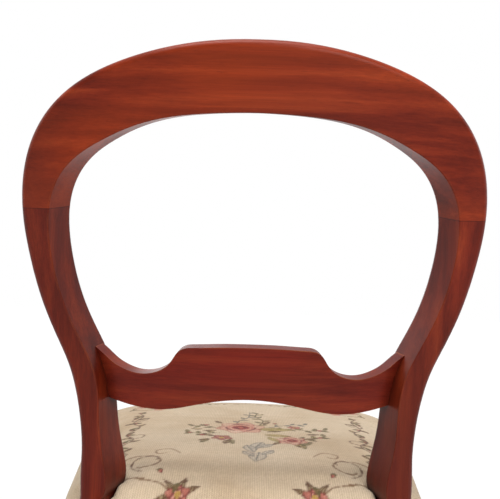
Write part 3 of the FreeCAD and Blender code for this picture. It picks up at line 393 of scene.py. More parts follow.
def apply_modifiers(piece):
    """Replaces a piece's mesh by what its modifiers make of it."""
    graph = bpy.context.evaluated_depsgraph_get()
    finished = bpy.data.meshes.new_from_object(piece.evaluated_get(graph))
    piece.modifiers.clear()
    piece.data = finished


for side in (1, -1):
    cutter = post_space(side)
    cut = seat.modifiers.new("cut", "BOOLEAN")
    cut.operation = "DIFFERENCE"
    cut.solver = "EXACT"
    cut.object = cutter
    apply_modifiers(seat)
    bpy.data.objects.remove(cutter)
remesh = seat.modifiers.new("remesh", "REMESH")
remesh.mode = "VOXEL"
# Even squares, small enough for the corners and large enough for a quick simulation
remesh.voxel_size = 4.6 * MM
apply_modifiers(seat)
print("seat form:", len(seat.data.vertices), "points")

# %% [markdown]
# ## Swelling the seat
# Blender's cloth solver with a little air pressure does what the stuffing does. The lower edge is pinned, since it
# is tacked there, and no point may move by more than a few millimetres, so the seat keeps its size.


# %% Cloth simulation
def of_points(mesh, what):
    """The places of a mesh's points, "co", or the ways they face, "normal", as an array."""
    values = np.zeros(len(mesh.vertices) * 3, np.float32)
    mesh.vertices.foreach_get(what, values)
    return values.reshape(-1, 3)


def swell(piece, pressure, cap, frames, pinned):
    """Swells a closed piece as cloth, then holds each point within the cap of where it was."""
    before = of_points(piece.data, "co")
    normals = of_points(piece.data, "normal")
    group = piece.vertex_groups.new(name="pinned")
    group.add([int(number) for number in np.nonzero(pinned(before))[0]], 1.0, "REPLACE")
    cloth = piece.modifiers.new("cloth", "CLOTH")
    settings = cloth.settings
    settings.quality = 5
    # A tight cover: it stretches little and bends easily
    settings.use_pressure = True
    settings.uniform_pressure_force = pressure
    settings.effector_weights.gravity = 0
    settings.tension_stiffness = 20
    settings.compression_stiffness = 20
    settings.shear_stiffness = 8
    settings.bending_stiffness = 0.6
    settings.vertex_group_mass = "pinned"
    cloth.point_cache.frame_start = 1
    cloth.point_cache.frame_end = frames
    for number in range(1, frames + 1):
        bpy.context.scene.frame_set(number)
    apply_modifiers(piece)
    bpy.context.scene.frame_set(1)
    move = of_points(piece.data, "co") - before
    # Stuffing only pushes outwards
    inward = np.minimum(0.0, np.sum(move * normals, axis=1, keepdims=True))
    move -= inward * normals
    length = np.linalg.norm(move, axis=1, keepdims=True)
    held = before + move * np.minimum(1.0, cap / np.maximum(length, 1e-9))
    piece.data.vertices.foreach_set("co", held.astype(np.float32).ravel())
    piece.vertex_groups.clear()
    return float(length.max()), float(np.minimum(length, cap).mean())


TACKED_BELOW = 380.0 * MM
moved = swell(seat, pressure=4.0, cap=4.0 * MM, frames=20, pinned=lambda places: places[:, 2] < TACKED_BELOW)
print("seat swelled by at most %.1f mm, held mean %.1f mm" % (moved[0] / MM, moved[1] / MM))

# %% [markdown]
# ## From a body to a cover
# What is under the rails' tops belongs to the frame, so the middle of the underside comes away and only the margin
# that is turned under and tacked stays. The points are then evened out and doubled, which gives a stitch-fine mesh.


# %% Open the underside
def smooth_points(shape, rounds, factor, keep):
    """Evens out the points that keep doesn't hold."""
    verts = [vert for vert in shape.verts if not keep(vert.co)]
    for _ in range(rounds):
        bmesh.ops.smooth_vert(shape, verts=verts, factor=factor, use_axis_x=True, use_axis_y=True, use_axis_z=True)


# The underside lies just above FOOT. Its rim runs along these lines, and a hem stays inside them.
RIM = {"side": 21.0, "front": -420.0, "back": 35.0}
HEM = 16.0
shape = bmesh.new()
shape.from_mesh(seat.data)
smooth_points(shape, rounds=2, factor=0.5, keep=lambda place: place.z < (FOOT + 1.6) * MM)
under = [face for face in shape.faces
         if face.normal.z < -0.7 and face.calc_center_median().z < (FOOT + 5.6) * MM]
inside = []
for face in under:
    centre = face.calc_center_median() / MM
    y = centre.y - SHIFT
    margin = min(seat_side(y, RIM["side"]) - abs(centre.x), y - RIM["front"], RIM["back"] - y)
    if margin > HEM:
        inside.append(face)
bmesh.ops.delete(shape, geom=inside, context="FACES")
shape.to_mesh(seat.data)
shape.free()
refine = seat.modifiers.new("refine", "SUBSURF")
refine.levels = refine.render_levels = 1
apply_modifiers(seat)


def pull_at_tacks(mesh, spacing, depth, fade):
    """Draws the cover in at each tack along its lower edge, fading upwards."""
    places = of_points(mesh, "co")
    normals = of_points(mesh, "normal")
    along_edge = np.where(np.abs(normals[:, 1]) > np.abs(normals[:, 0]), places[:, 0], places[:, 1])
    wave = 0.5 + 0.5 * np.cos(2 * math.pi * along_edge / spacing)
    above = np.maximum(0.0, places[:, 2] - FOOT * MM)
    level = normals * np.array([1, 1, 0], np.float32)
    places -= level * (depth * wave * np.exp(-above / fade))[:, None]
    mesh.vertices.foreach_set("co", places.ravel())


pull_at_tacks(seat.data, spacing=27 * MM, depth=1.1 * MM, fade=13 * MM)
print("cover:", len(seat.data.vertices), "points", len(seat.data.polygons), "faces")

# %% [markdown]
# ## Where the canvas lies
# Petit point is stitched on a canvas, flat, before it is pulled over the seat. Each point of the cover gets its
# place on that flat canvas: its place in plan on top, and further out by the cloth it takes to come down the side.


# %% Canvas coordinates
def seat_profile():
    """Height against the extra cloth used beyond the travel in plan, from the top down."""
    heights = [SEAT_ROWS[-1][0]]
    extra = [0.0]
    for (low, low_in, *_), (high, high_in, *_) in reversed(list(zip(SEAT_ROWS, SEAT_ROWS[1:]))):
        length = math.hypot(high - low, high_in - low_in)
        heights.append(low)
        extra.append(extra[-1] + length - (high_in - low_in))
    return heights[::-1], extra[::-1]


def canvas_places(mesh):
    """Each point's place on the flat canvas, in millimetres from its centre."""
    places = of_points(mesh, "co") / MM
    normals = of_points(mesh, "normal")
    heights, extra = seat_profile()
    drop = np.interp(places[:, 2], heights, extra)
    # On top, where a point faces almost straight up, its small lean is held up so that it isn't divided by nothing
    level = np.maximum(np.linalg.norm(normals[:, :2], axis=1), 0.25)
    across = places[:, 0] + drop * normals[:, 0] / level
    along = places[:, 1] + drop * normals[:, 1] / level
    return across, along


across, along = canvas_places(seat.data)
print("canvas from", across.min(), along.min(), "to", across.max(), along.max())

# %% [markdown]
# ## The needlework
# The picture is worked stitch by stitch from a few wool colours on a cream ground: a bouquet in the middle, with a
# rose at its heart, and scrolls with sprays of flowers round it, the same on both sides. It is a traditional kind of
# pattern, so it is drawn here from its parts, petals, leaves, stems and scrolls, on a small canvas of stitches.

# %% The canvas and its strokes
# Stitches 1.3 mm apart, a little coarser than real ones so that they show, on a canvas that reaches this far each way
STITCH = 1.3
REACH = 345.0
SIDE = int(2 * REACH / STITCH)
ticks = (np.arange(SIDE) + 0.5) * STITCH - REACH
stitch_x, stitch_y = np.meshgrid(ticks, ticks)
rng = np.random.default_rng(7)
canvas = np.zeros((SIDE, SIDE, 3), np.float32)
canvas[:] = srgb("#CBB89E")[:3]
WOOL = {
    "brown": "#5E3E2E", "umber": "#7C5E44", "wine": "#6A2629", "red": "#943C3A", "rose": "#BA6E62",
    "pink": "#CB9484", "blush": "#D0AA96", "olive": "#5F5436", "moss": "#837548", "straw": "#A79552",
    "slate": "#716D66", "dove": "#958C80", "mist": "#B3A899", "gold": "#B08E4C",
}
WOOL = {name: np.array(srgb(code)[:3], np.float32) for name, code in WOOL.items()}


def fill(mask, wool, share=1.0):
    """Works the stitches under a mask in one wool."""
    canvas[mask] = canvas[mask] * (1 - share) + WOOL[wool] * share


def local(x, y, angle):
    """Stitch places seen from a point, along and across a way."""
    turn = math.radians(angle)
    dx = stitch_x - x
    dy = stitch_y - y
    return dx * math.cos(turn) + dy * math.sin(turn), dy * math.cos(turn) - dx * math.sin(turn)


def petal(x, y, angle, length, width, body, edge, cover=1.0):
    """A drop-shaped petal or leaf from its root, its body worked as closely as cover says."""
    u, v = local(x, y, angle)
    share = np.clip(u / length, 0, 1)
    half = width / 2 * np.sin(math.pi * share ** 0.85) ** 0.8
    inside = (u > 0) & (u < length) & (np.abs(v) < half)
    fill(inside, body, cover)
    fill(inside & (np.abs(v) > half - 1.6), edge, 0.9)


def stroke(points, width, wool):
    """A line of stitches through points, smoothed into a Catmull-Rom curve."""
    points = np.array(points, float)
    places = np.linspace(0, len(points) - 1, 12 * len(points))
    lower = np.clip(places.astype(int), 0, len(points) - 2)
    share = (places - lower)[:, None]
    before = points[np.clip(lower - 1, 0, None)]
    after = points[np.clip(lower + 2, None, len(points) - 1)]
    p1, p2 = points[lower], points[lower + 1]
    curve = 0.5 * (2 * p1 + (p2 - before) * share + (2 * before - 5 * p1 + 4 * p2 - after) * share ** 2
                   + (3 * p1 - before - 3 * p2 + after) * share ** 3)
    for (x0, y0), (x1, y1) in zip(curve, curve[1:]):
        box = ((stitch_x > min(x0, x1) - width) & (stitch_x < max(x0, x1) + width)
               & (stitch_y > min(y0, y1) - width) & (stitch_y < max(y0, y1) + width))
        rows, columns = np.nonzero(box)
        if not len(rows):
            continue
        px = stitch_x[rows, columns] - x0
        py = stitch_y[rows, columns] - y0
        dx, dy = x1 - x0, y1 - y0
        t = np.clip((px * dx + py * dy) / max(dx * dx + dy * dy, 1e-6), 0, 1)
        near = np.hypot(px - t * dx, py - t * dy) < width / 2
        canvas[rows[near], columns[near]] = WOOL[wool]


print("canvas of", SIDE, "by", SIDE, "stitches")

# %% [markdown]
# ## Flowers, leaves and scrolls
# The drawing's numbers are places and sizes on the canvas in mm, with X to the right and Y to the seat's back, and
# angles in degrees.


# %% The parts of the drawing
def leaf(x, y, angle, length, width, light="moss", dark="olive"):
    """A leaf with a dark rim and a vein."""
    petal(x, y, angle, length, width, light, dark, 0.7)
    u, v = local(x, y, angle)
    fill((u > 0) & (u < length * 0.9) & (np.abs(v) < 0.8), dark)


def sprig(points, leaves, light="moss", dark="olive", size=9.0):
    """A thin stem with leaves on both sides."""
    stroke(points, 1.9, dark)
    points = np.array(points, float)
    for number in range(leaves):
        share = (number + 0.6) / leaves * (len(points) - 1)
        low = min(int(share), len(points) - 2)
        place = points[low] + (points[low + 1] - points[low]) * (share - low)
        way = points[low + 1] - points[low]
        angle = math.degrees(math.atan2(way[1], way[0])) + (52 if number % 2 else -52)
        leaf(*place, angle, size * 1.3, size * 0.62, light if number % 3 else "straw", dark)


def rose(x, y, size, turn=0.0):
    """An open rose: pale outer petals drawn in outline, deeper inner ones and a dark heart."""
    for number in range(6):
        angle = turn + number * 60
        root_x = x + 0.10 * size * math.cos(math.radians(angle))
        root_y = y + 0.10 * size * math.sin(math.radians(angle))
        petal(root_x, root_y, angle, size * 0.95, size * 0.86, "blush" if number % 2 else "pink", "red", 0.7)
    u, v = local(x, y, turn)
    radius = np.hypot(u, v)
    way = np.arctan2(v, u)
    fill(radius < 0.60 * size, "pink", 0.8)
    fill((radius < 0.62 * size) & (radius > 0.54 * size) & (np.sin(3 * way + 0.8) > -0.3), "wine")
    fill((radius < 0.50 * size) & (np.sin(2 * way + 2.2) > 0.2), "rose")
    fill((radius < 0.45 * size) & (radius > 0.38 * size) & (np.sin(2 * way + 2.2) > -0.35), "blush")
    fill((radius < 0.34 * size), "red")
    fill((radius < 0.27 * size) & (np.sin(way * 2 + 1.0) > 0.1), "wine")
    fill(radius < 0.10 * size, "rose")


def blossom(x, y, size, petals=5, turn=0.0, body="rose", edge="red", heart="gold"):
    """A small open flower."""
    for number in range(petals):
        petal(x, y, turn + number * 360 / petals, size, size * 0.8, body, edge, 0.8)
    for number in range(petals):
        petal(x, y, turn + (number + 0.5) * 360 / petals, size * 0.6, size * 0.4, "pink", edge)
    u, v = local(x, y, 0)
    fill(np.hypot(u, v) < 0.24 * size, heart)


def bud(x, y, angle, size, body="rose", edge="wine"):
    """A closed bud in its sepals."""
    petal(x, y, angle, size, size * 0.62, body, edge)
    petal(x, y, angle - 34, size * 0.6, size * 0.28, "moss", "olive")
    petal(x, y, angle + 34, size * 0.6, size * 0.28, "moss", "olive")


def spiral(x, y, start, turns, outer, inner, way=1):
    """Points along a spiral from its outer end inwards."""
    points = []
    for share in np.linspace(0, 1, int(10 * turns) + 3):
        angle = math.radians(start) + way * share * turns * 2 * math.pi
        radius = outer + (inner - outer) * share ** 0.8
        points.append((x + radius * math.cos(angle), y + radius * math.sin(angle)))
    return points


print("wools:", len(WOOL))

# %% The border
# The big scroll near the back corner
stroke(spiral(104, 134, 100, 1.15, 34, 9, -1), 2.2, "umber")
stroke(spiral(98, 128, 80, 0.7, 26, 6, -1), 1.5, "brown")
stroke([(70, 108), (82, 92), (97, 96), (94, 108), (86, 106)], 1.8, "umber")
stroke([(104, 168), (84, 172), (72, 182), (60, 190)], 1.8, "umber")
sprig([(128, 120), (140, 104), (148, 84), (146, 62)], 6, size=8)
for angle in (15, 75, 130, 205, 255, 310):
    leaf(63, 186, angle, 24, 7, "moss", "brown")
    leaf(45, 204, angle + 20, 15, 5, "straw", "brown")
for x, y, size in ((63, 186, 13), (45, 204, 9), (78, 198, 7)):
    blossom(x, y, size, 5, x, "rose" if size > 8 else "red", "wine")
leaf(72, 196, 20, 17, 7, "straw", "olive")
leaf(48, 192, 160, 15, 6, "straw", "olive")
leaf(64, 172, 75, 13, 6)
bud(86, 152, 120, 9)
# The vine along the side
vine = [(128, 104), (144, 72), (134, 42), (148, 14), (138, -18), (152, -48), (146, -84), (158, -112)]
sprig(vine, 11, "moss", "brown", 11)
for number, (x, y) in enumerate(vine[1:]):
    side_angle = 30 if number % 2 else 150
    leaf(x, y, side_angle, 15, 6, "moss" if number % 2 else "straw")
    bud(x + (6 if number % 2 else -6), y + 7, 90 - side_angle, 8, "rose" if number % 3 else "pink")
stroke(spiral(132, 26, 20, 0.8, 15, 4), 1.6, "brown")
stroke(spiral(150, -66, 200, 0.8, 15, 4, -1), 1.6, "brown")
# The front corner and the front edge
stroke(spiral(150, -150, 250, 1.1, 32, 8), 2.2, "umber")
blossom(158, -166, 14, 5, 12)
blossom(132, -136, 9, 5, 40, "pink", "rose")
leaf(168, -148, 60, 17, 7)
leaf(146, -182, 200, 17, 7, "straw")
sprig([(120, -178), (96, -192), (72, -196), (50, -190)], 8, size=9)
stroke([(50, -190), (38, -200), (22, -204), (14, -196), (22, -190)], 1.9, "umber")
stroke([(44, -214), (26, -222), (8, -220), (0, -212)], 1.9, "umber")
bud(34, -196, 60, 9)
# The left half is the mirror image of the right one
half = SIDE // 2
canvas[:, :half] = canvas[:, ::-1][:, :half]
print("border: mean colour", canvas.mean(axis=(0, 1)))

# %% The bouquet
sprig([(-20, -10), (-52, -20), (-84, -14), (-104, -22)], 8, size=11)
sprig([(-22, -20), (-54, -44), (-80, -50)], 6, "dove", "slate", 9)
sprig([(-14, -30), (-22, -66), (-12, -94), (-16, -120)], 8, size=10)
sprig([(16, -30), (10, -64), (-2, -88), (-4, -124)], 7, "dove", "slate", 9)
sprig([(30, -8), (52, -26), (72, -24)], 5, size=10)
sprig([(34, 10), (58, 16), (76, 8)], 5, "straw", "olive", 10)
sprig([(-46, 34), (-78, 30), (-98, 12)], 6, "moss", "olive", 11)
for x, y, angle, length, width in ((-18, 52, 250, 34, 17), (-30, 60, 220, 28, 12), (0, 66, 285, 32, 15),
                                   (-14, 96, 262, 34, 20), (-30, 86, 235, 24, 11), (4, 92, 300, 24, 11)):
    leaf(x, y, angle + 180, length, width, "mist", "slate")
leaf(-14, -16, 180, 46, 20, "straw", "moss")
leaf(-22, 14, 170, 34, 13, "straw", "moss")
leaf(-26, 26, 120, 28, 10, "straw", "moss")
leaf(-62, 52, 100, 26, 9, "straw", "olive")
leaf(-76, 44, 60, 24, 9, "moss", "olive")
leaf(46, 40, 70, 22, 9, "moss", "olive")
leaf(20, 40, 100, 24, 9, "moss", "olive")
for x, y, angle, size in ((40, 28, 320, 20), (22, 44, 80, 20), (44, 42, 30, 16), (-40, 46, 60, 18),
                          (-66, 34, 200, 20), (-56, 56, 110, 16), (34, -44, 300, 18), (-22, -46, 240, 18),
                          (38, -2, 10, 18), (-26, -2, 200, 20), (-74, 8, 190, 18), (56, -8, 0, 16)):
    leaf(x, y, angle, size, size * 0.42, "moss" if size > 17 else "straw", "brown")
rose(8, -22, 32, 15)
rose(-54, 40, 19, 40)
blossom(30, 34, 14, 5, 20, "red", "wine")
blossom(-62, -30, 10, 5, 0, "rose", "wine")
bud(60, -30, 200, 12)
bud(62, 22, 170, 13, "red")
bud(76, 10, 160, 10)
bud(-100, -14, 340, 12, "red")
bud(-96, 20, 20, 12)
bud(-40, -48, 300, 9)
print("needlework: mean colour", canvas.mean(axis=(0, 1)))

# %% [markdown]
# ## From the canvas to the cover
# Wool takes dye unevenly, so each stitch is a little lighter or darker than the next, and so is each row. The colours
# then go from the canvas to the cover's points, and the top gets more points so that the stitches stay fine.

# %% Carry the stitches onto the cover
STITCH_VARIES = 0.055
ROW_VARIES = 0.02
canvas *= 1 + STITCH_VARIES * rng.standard_normal((SIDE, SIDE, 1)).astype(np.float32)
canvas *= 1 + ROW_VARIES * rng.standard_normal((SIDE, 1, 1)).astype(np.float32)


def canvas_colour(x, y):
    """The canvas at places given in millimetres, blended between its nearest stitches."""
    column = np.clip((x + REACH) / STITCH - 0.5, 0, SIDE - 1.001)
    row = np.clip((y + REACH) / STITCH - 0.5, 0, SIDE - 1.001)
    left, low = column.astype(int), row.astype(int)
    a, b = (column - left)[:, None], (row - low)[:, None]
    lower = canvas[low, left] * (1 - a) + canvas[low, left + 1] * a
    upper = canvas[low + 1, left] * (1 - a) + canvas[low + 1, left + 1] * a
    return lower * (1 - b) + upper * b


def dress_cover(mesh):
    """Writes the needlework colour and the canvas coordinates onto a mesh."""
    x, y = canvas_places(mesh)
    colour = np.ones((len(x), 4), np.float32)
    colour[:, :3] = canvas_colour(x, y)
    layer = mesh.color_attributes.new("needlework", "FLOAT_COLOR", "POINT")
    layer.data.foreach_set("color", colour.ravel())
    corners = np.zeros(len(mesh.loops), np.int32)
    mesh.loops.foreach_get("vertex_index", corners)
    flat = np.stack([x[corners], y[corners]], axis=1) * MM
    mesh.uv_layers.new(name="canvas").data.foreach_set("uv", flat.astype(np.float32).ravel())


def split_across(piece):
    """Halves the top's faces from side to side, for finer stitches where they are seen best."""
    shape = bmesh.new()
    shape.from_mesh(piece.data)
    tops = [face for face in shape.faces if face.normal.z > 0.35]
    edges = set()
    for face in tops:
        for edge in face.edges:
            way = edge.verts[1].co - edge.verts[0].co
            if abs(way.x) > abs(way.y) and abs(way.x) > abs(way.z):
                edges.add(edge)
    bmesh.ops.subdivide_edges(shape, edges=list(edges), cuts=1, use_grid_fill=True)
    shape.to_mesh(piece.data)
    shape.free()


split_across(seat)
dress_cover(seat.data)
seat.data.polygons.foreach_set("use_smooth", [True] * len(seat.data.polygons))
print("dressed cover:", len(seat.data.polygons), "faces")

# %% [markdown]
# ## The tapestry material
# Wool on canvas is matt, a little furry and finely ribbed, because the stitches sit in rows. A century of sitting has
# greyed and warmed it in broad soft stains. The colour comes from the mesh, and the shader adds the stains, the ribs,
# the single stitches along them with painted shade in the gaps between them, and the sheen of the wool's fuzz.

# %% Tapestry
# Drawn about twice as coarse as real ones, so that they show in the picture
RIB = 2.2 * MM
ROW = 1.7 * MM


def tapestry():
    """Petit point in wool on canvas."""
    material, add = new_material("petit_point_wool")
    uv = add("UVMap", uv_map="canvas")
    s, t, _ = add("SeparateXYZ", uv, out=None)
    # Hand stitching isn't quite straight
    s = add("Math", grain(add, uv, (26, 26, 26), 2.0), 0.9 * MM, s, operation="MULTIPLY_ADD")
    # Ribs side by side, and rows of stitches that lean across them, both from 0 in a gap to 1 on a crest
    slanted = add("Math", s, 0.6, t, operation="MULTIPLY_ADD")
    rib, row = [add("Math", add("Math", add("Math", place, 2 * math.pi / pitch, operation="MULTIPLY"),
                                operation="COSINE"), 0.5, 0.5, operation="MULTIPLY_ADD")
                for place, pitch in ((s, RIB), (slanted, ROW))]
    wool = add("VertexColor", layer_name="needlework")
    soiling = add("MapRange", grain(add, uv, (120, 120, 120), 3.0, 0.55), 0.42, 0.7, 0.0, 0.45)
    colour = add("Mix", {0: soiling, 6: wool, 7: srgb("#C9B08C")}, blend_type="MULTIPLY", **COLOURS)
    # The gaps between ribs and between rows are darkened: painted shade in the grooves
    for painted_gap_shade in (add("MapRange", rib, 0.0, 0.55, 0.20, 0.0), add("MapRange", row, 0.0, 0.5, 0.09, 0.0)):
        colour = add("Mix", {0: painted_gap_shade, 6: colour, 7: srgb("#6B5640")}, **COLOURS)
    fuzz = grain(add, uv, (1.1, 0.5, 1), 2.0, 0.7)
    light = add("MapRange", fuzz, 0.25, 0.75, 0.88, 1.12)
    colour = add("Mix", {0: 1.0, 6: colour, 7: light}, blend_type="MULTIPLY", **COLOURS)
    height = add("Math", rib, 0.6, add("Math", row, 0.3, operation="MULTIPLY"), operation="MULTIPLY_ADD")
    height = add("Math", fuzz, 0.35, height, operation="MULTIPLY_ADD")
    bump = add("Bump", {"Height": height, "Strength": 0.7, "Distance": 0.5 * MM})
    shader = add("BsdfPrincipled", {
        "Base Color": colour, "Roughness": 0.92, "Normal": bump, "Specular IOR Level": 0.2,
        "Sheen Weight": 0.12, "Sheen Roughness": 0.5,
    })
    add("OutputMaterial", shader, out=None)
    return material


dress(seat, tapestry())
thickness = seat.modifiers.new("thickness", "SOLIDIFY")
thickness.thickness = 1.2 * MM
thickness.offset = 0.0
apply_modifiers(seat)
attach(seat, "root")
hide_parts("seat_cover", "wadding", "first_stuffing")
print("seat cover:", len(seat.data.polygons), "faces")

# %% [markdown]
# ## The black cloth underneath
# A square-woven black cotton closes the seat from below. It is tacked along the rails, so it is tight there and sags
# a little in the middle. Its outline is that of the CAD's cloth, cut by a grid of planes so that it can bend.


# %% Bottom cloth
def cloth_outline(source, pitch):
    """The underside of a flat CAD piece as a sheet, divided into small squares."""
    shape = bmesh.new()
    shape.from_mesh(source.data)
    shape.normal_update()
    above = [face for face in shape.faces if face.normal.z > -0.9]
    bmesh.ops.delete(shape, geom=above, context="FACES")
    bmesh.ops.dissolve_faces(shape, faces=shape.faces)
    xs = [vert.co.x for vert in shape.verts]
    ys = [vert.co.y for vert in shape.verts]
    for axis, low, high in ((0, min(xs), max(xs)), (1, min(ys), max(ys))):
        way = Vector((1 - axis, axis, 0))
        for place in np.arange(low + pitch, high, pitch):
            everything = [*shape.verts, *shape.edges, *shape.faces]
            bmesh.ops.bisect_plane(shape, geom=everything, plane_co=way * float(place), plane_no=way)
    return shape


shape = cloth_outline(nodes["bottom_cloth"], 11 * MM)
SAG = 2.7 * MM
half_width = max(vert.co.x for vert in shape.verts)
front_edge = min(vert.co.y for vert in shape.verts)
length = max(vert.co.y for vert in shape.verts) - front_edge
for vert in shape.verts:
    # Both run from -1 to 1, and their fourth powers keep the cloth flat in the middle and steep near the rails
    across = vert.co.x / half_width
    along = 2 * (vert.co.y - front_edge) / length - 1
    vert.co.z -= SAG * max(0.0, 1 - across ** 4) * max(0.0, 1 - along ** 4)
cloth_area = sum(face.calc_area() for face in shape.faces)
under_cloth = mesh_object("black_bottom_cloth", shape)
thickness = under_cloth.modifiers.new("thickness", "SOLIDIFY")
thickness.thickness = 0.5 * MM
thickness.offset = -1.0
apply_modifiers(under_cloth)
under_cloth.data.polygons.foreach_set("use_smooth", [True] * len(under_cloth.data.polygons))
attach(under_cloth, "root")
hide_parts("bottom_cloth")
print("bottom cloth:", len(under_cloth.data.polygons), "faces,", round(cloth_area, 4), "m2")

# %% [markdown]
# ## Hidden parts
# The rails, blocks, dowels, webbing and stuffing are closed in by the cover and the black cloth. They still get
# the finish of the real thing, since someone may take the chair apart.


# %% Cloths and stuffing
def plain_cloth(name, light, dark, thread_mm):
    """A plain weave: threads over and under along X and Y."""
    material, add = new_material(name)
    place = add("TexCoord", out="Object")
    warp, weft = [add("Math", add("Math", add("SeparateXYZ", place, out=axis), math.pi / (thread_mm * MM),
                                  operation="MULTIPLY"), operation="SINE") for axis in (0, 1)]
    weave = add("Math", warp, weft, operation="MULTIPLY")
    slub = grain(add, place, (thread_mm * 20, thread_mm * 2, thread_mm * 20), 3.0, 0.6)
    share = add("Math", weave, 0.25, add("MapRange", slub, 0.3, 0.7, 0.2, 0.8), operation="MULTIPLY_ADD",
                use_clamp=True)
    colour = add("ValToRGB", share, stops=[(0.0, dark), (1.0, light)])
    bump = add("Bump", {"Height": weave, "Strength": 0.5, "Distance": thread_mm * 0.2 * MM})
    shader = add("BsdfPrincipled", {"Base Color": colour, "Roughness": 0.9, "Normal": bump, "Sheen Weight": 0.1})
    add("OutputMaterial", shader, out=None)
    return material


def fibre_mass(name, light, dark, strand_mm):
    """Loose fibre, such as curled hair or cotton felt."""
    material, add = new_material(name)
    place = add("TexCoord", out="Object")
    strands = grain(add, place, (strand_mm, strand_mm, strand_mm), 4.0, 0.7, 2.0)
    colour = add("ValToRGB", strands, stops=[(0.3, dark), (0.7, light)])
    bump = add("Bump", {"Height": strands, "Strength": 0.8, "Distance": strand_mm * 0.4 * MM})
    shader = add("BsdfPrincipled", {"Base Color": colour, "Roughness": 0.95, "Normal": bump, "Sheen Weight": 0.2})
    add("OutputMaterial", shader, out=None)
    return material


black_cotton = plain_cloth("black_cotton", "#1B1A1C", "#0C0B0D", 0.6)
dress(under_cloth, black_cotton)
print("bottom cloth dressed in", black_cotton.name)


# %% Beech and steel
def planed_beech(name, turn):
    """Planed beech, pale with short brown flecks along the grain."""
    material, add = new_material(name)
    place = add("TexCoord", out="Object")
    board = add("Mapping", {"Vector": place, "Rotation": tuple(map(math.radians, turn))})
    bands = grain(add, board, (260, 14, 14), 3.0, 0.5)
    colour = add("ValToRGB", bands, stops=[(0.3, "#B98F62"), (0.7, "#D2AE80")])
    flecks = grain(add, board, (5, 0.7, 0.7), 1.0)
    fleck_share = add("MapRange", flecks, 0.6, 0.72, 0.0, 0.5)
    colour = add("Mix", {0: fleck_share, 6: colour, 7: srgb("#8A5E38")}, **COLOURS)
    bump = add("Bump", {"Height": flecks, "Strength": 0.15, "Distance": 0.2 * MM})
    add("OutputMaterial", add("BsdfPrincipled", {"Base Color": colour, "Roughness": 0.6, "Normal": bump}), out=None)
    return material


def worked_steel(name, light, dark, rough):
    """Drawn steel with fine turning marks."""
    material, add = new_material(name)
    marks = grain(add, add("TexCoord", out="Object"), (0.6, 0.6, 4), 3.0, 0.6)
    colour = add("ValToRGB", marks, stops=[(0.3, dark), (0.7, light)])
    gloss = add("MapRange", marks, 0.3, 0.7, rough - 0.08, rough + 0.08)
    shader = add("BsdfPrincipled", {"Base Color": colour, "Metallic": 1.0, "Roughness": gloss})
    add("OutputMaterial", shader, out=None)
    return material


hidden = [
    (planed_beech("planed_beech_across", ALONG), (
        "back_seat_rail", "front_seat_rail", "left_back_corner_block", "right_back_corner_block",
        "left_front_corner_block", "right_front_corner_block", "crest_dowels", "mid_rail_dowels", "back_rail_dowels",
        "front_rail_dowels")),
    (planed_beech("planed_beech_along", (0, 0, 90)), (
        "left_seat_rail", "right_seat_rail", "side_rail_back_dowels", "side_rail_front_dowels")),
    (worked_steel("bright_steel", "#A8A6A2", "#7C7A76", 0.32), ("corner_block_screws",)),
    (worked_steel("blued_steel", "#3A3E48", "#20222A", 0.42), ("webbing_tacks", "underside_tacks")),
    (plain_cloth("jute_webbing", "#A88E60", "#6E5A3A", 1.6), ("long_webbing", "cross_webbing")),
    (plain_cloth("hessian_jute", "#B39A6C", "#7A6442", 1.4), ("hessian",)),
    (fibre_mass("curled_fibre", "#8A7250", "#4A3A26", 2.0), ("first_stuffing",)),
    (fibre_mass("curled_hair", "#4A3C30", "#1E1712", 1.6), ("second_stuffing",)),
    (plain_cloth("unbleached_calico", "#E2D9C2", "#C8BC9E", 0.5), ("calico_cover",)),
    (fibre_mass("cotton_wadding", "#EFECE2", "#D6D0C2", 3.0), ("wadding",)),
    (black_cotton, ("bottom_cloth",)),
]
for material, names in hidden:
    for node in names:
        dress(nodes[node], material)
print("hidden nodes dressed:", sum(len(names) for _, names in hidden))

# %% [markdown]
# ## Stage, light and camera
# The floor and the background are white, as in a catalogue. The lamps are large and soft: one behind and above the
# camera, one from each side and a weak one from the front, so that the arch's underside and the far legs still read.


# %% Floor
def white_floor():
    """Matt white paper that looks white to the camera and keeps the chair's shadow."""
    material, add = new_material("white_paper")
    matt = add("BsdfDiffuse", {"Color": srgb("#F2F1EE")})
    glow = add("Emission", {"Color": (1, 1, 1, 1), "Strength": 1.05})
    rays = add("LightPath", out=None)
    seen = add("Math", rays["Is Camera Ray"], rays["Is Glossy Ray"], operation="MAXIMUM")
    seen = add("Math", seen, rays["Is Transmission Ray"], operation="MAXIMUM")
    # Near the chair a sixth of the paper's own light is left, so its shadow shows, and further out none is
    away = add("VectorMath", add("TexCoord", out="Object"), out="Value", operation="LENGTH")
    share = add("Math", seen, add("MapRange", away, 0.7, 2.2, 0.84, 1.0), operation="MULTIPLY")
    add("OutputMaterial", add("MixShader", share, matt, glow), out=None)
    return material


shape = bmesh.new()
bmesh.ops.create_circle(shape, cap_ends=True, segments=96, radius=40.0)
floor = mesh_object("floor", shape)
dress(floor, white_floor())
print("floor:", len(floor.data.polygons), "face")

# %% Backdrop
world = bpy.data.worlds.new("studio")
world.use_nodes = True
bpy.context.scene.world = world
world.node_tree.nodes.clear()
add = partial(add_node, world.node_tree)
rays = add("LightPath", out=None)
seen = add("Math", rays["Is Camera Ray"], rays["Is Transmission Ray"], operation="MAXIMUM")
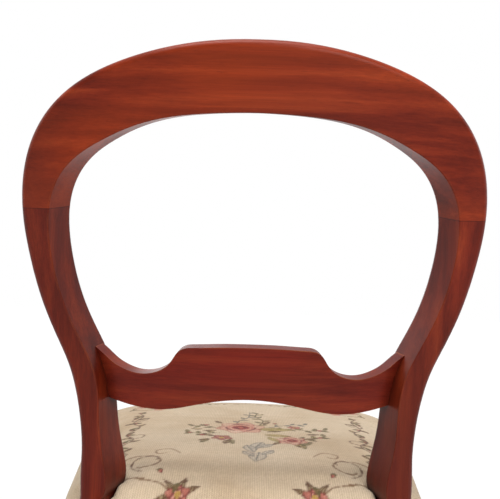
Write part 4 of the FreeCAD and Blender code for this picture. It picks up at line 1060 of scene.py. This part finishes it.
# Gloss shows the white paper where it looks to the front of the room, and the dim room behind the camera
ahead = add("MapRange", add("SeparateXYZ", add("TexCoord", out="Generated"), out=1), 0.35, -0.25)
seen = add("Math", seen, add("Math", rays["Is Glossy Ray"], ahead, operation="MULTIPLY"), operation="MAXIMUM")
room = add("Background", {"Color": srgb("#E2DCD6"), "Strength": 0.42})
white = add("Background", {"Color": (1, 1, 1, 1), "Strength": 1.0})
add("OutputWorld", add("MixShader", seen, room, white), out=None)
print("backdrop:", world.name)


# %% Lamps
def soft_lamp(name, place, target, width, height, power):
    """A rectangular softbox at a place, turned to a target."""
    data = bpy.data.lights.new(name, "AREA")
    data.shape = "RECTANGLE"
    data.size = width
    data.size_y = height
    data.energy = power
    lamp = bpy.data.objects.new(name, data)
    lamp.location = place
    lamp.rotation_euler = (Vector(target) - Vector(place)).to_track_quat("-Z", "Y").to_euler()
    bpy.context.scene.collection.objects.link(lamp)


# Places and targets in metres, widths and heights in metres, powers in watts
for lamp in (("overhead", (0.2, 1.0, 2.6), (0, 0.15, 0.6), 1.6, 1.2, 48),
             ("behind_camera", (-1.1, 2.6, 1.8), (0, 0.2, 0.6), 1.6, 1.4, 40),
             ("left_side", (2.6, 0.2, 1.4), (0, 0.1, 0.5), 1.4, 1.4, 9),
             ("right_side", (-2.6, -0.2, 1.4), (0, 0.1, 0.5), 1.4, 1.4, 9),
             ("front", (1.3, -2.6, 1.9), (0, 0, 0.5), 2.2, 1.6, 16)):
    soft_lamp(*lamp)
    print(lamp[0], lamp[-1], "W")
bpy.context.scene.view_settings.view_transform = "Standard"

# %% [markdown]
# ## The camera
# It stands close behind the chair, a little above the seat, and tips up slightly with a small roll. Its place, its
# angles and its lens come from fitting the back's outline to the photograph.

# %% Camera
CAMERA = Vector((0.0028, 0.7111, 0.6470))
pitch = math.radians(5.806)
roll = math.radians(-1.7)
forward = Vector((0, -math.cos(pitch), math.sin(pitch)))
right = Vector((-1, 0, 0))
down = forward.cross(right)
right_rolled = right * math.cos(roll) + down * math.sin(roll)
down_rolled = down * math.cos(roll) - right * math.sin(roll)
camera_data = bpy.data.cameras.new("camera")
camera_data.sensor_width = 36.0  # mm, as for the lens
camera_data.lens = 39.52
camera = bpy.data.objects.new("camera", camera_data)
turned = Matrix((right_rolled, -down_rolled, -forward)).transposed().to_4x4()
camera.matrix_world = Matrix.Translation(CAMERA) @ turned
bpy.context.scene.collection.objects.link(camera)
bpy.context.scene.camera = camera
print("camera at", tuple(camera.location))
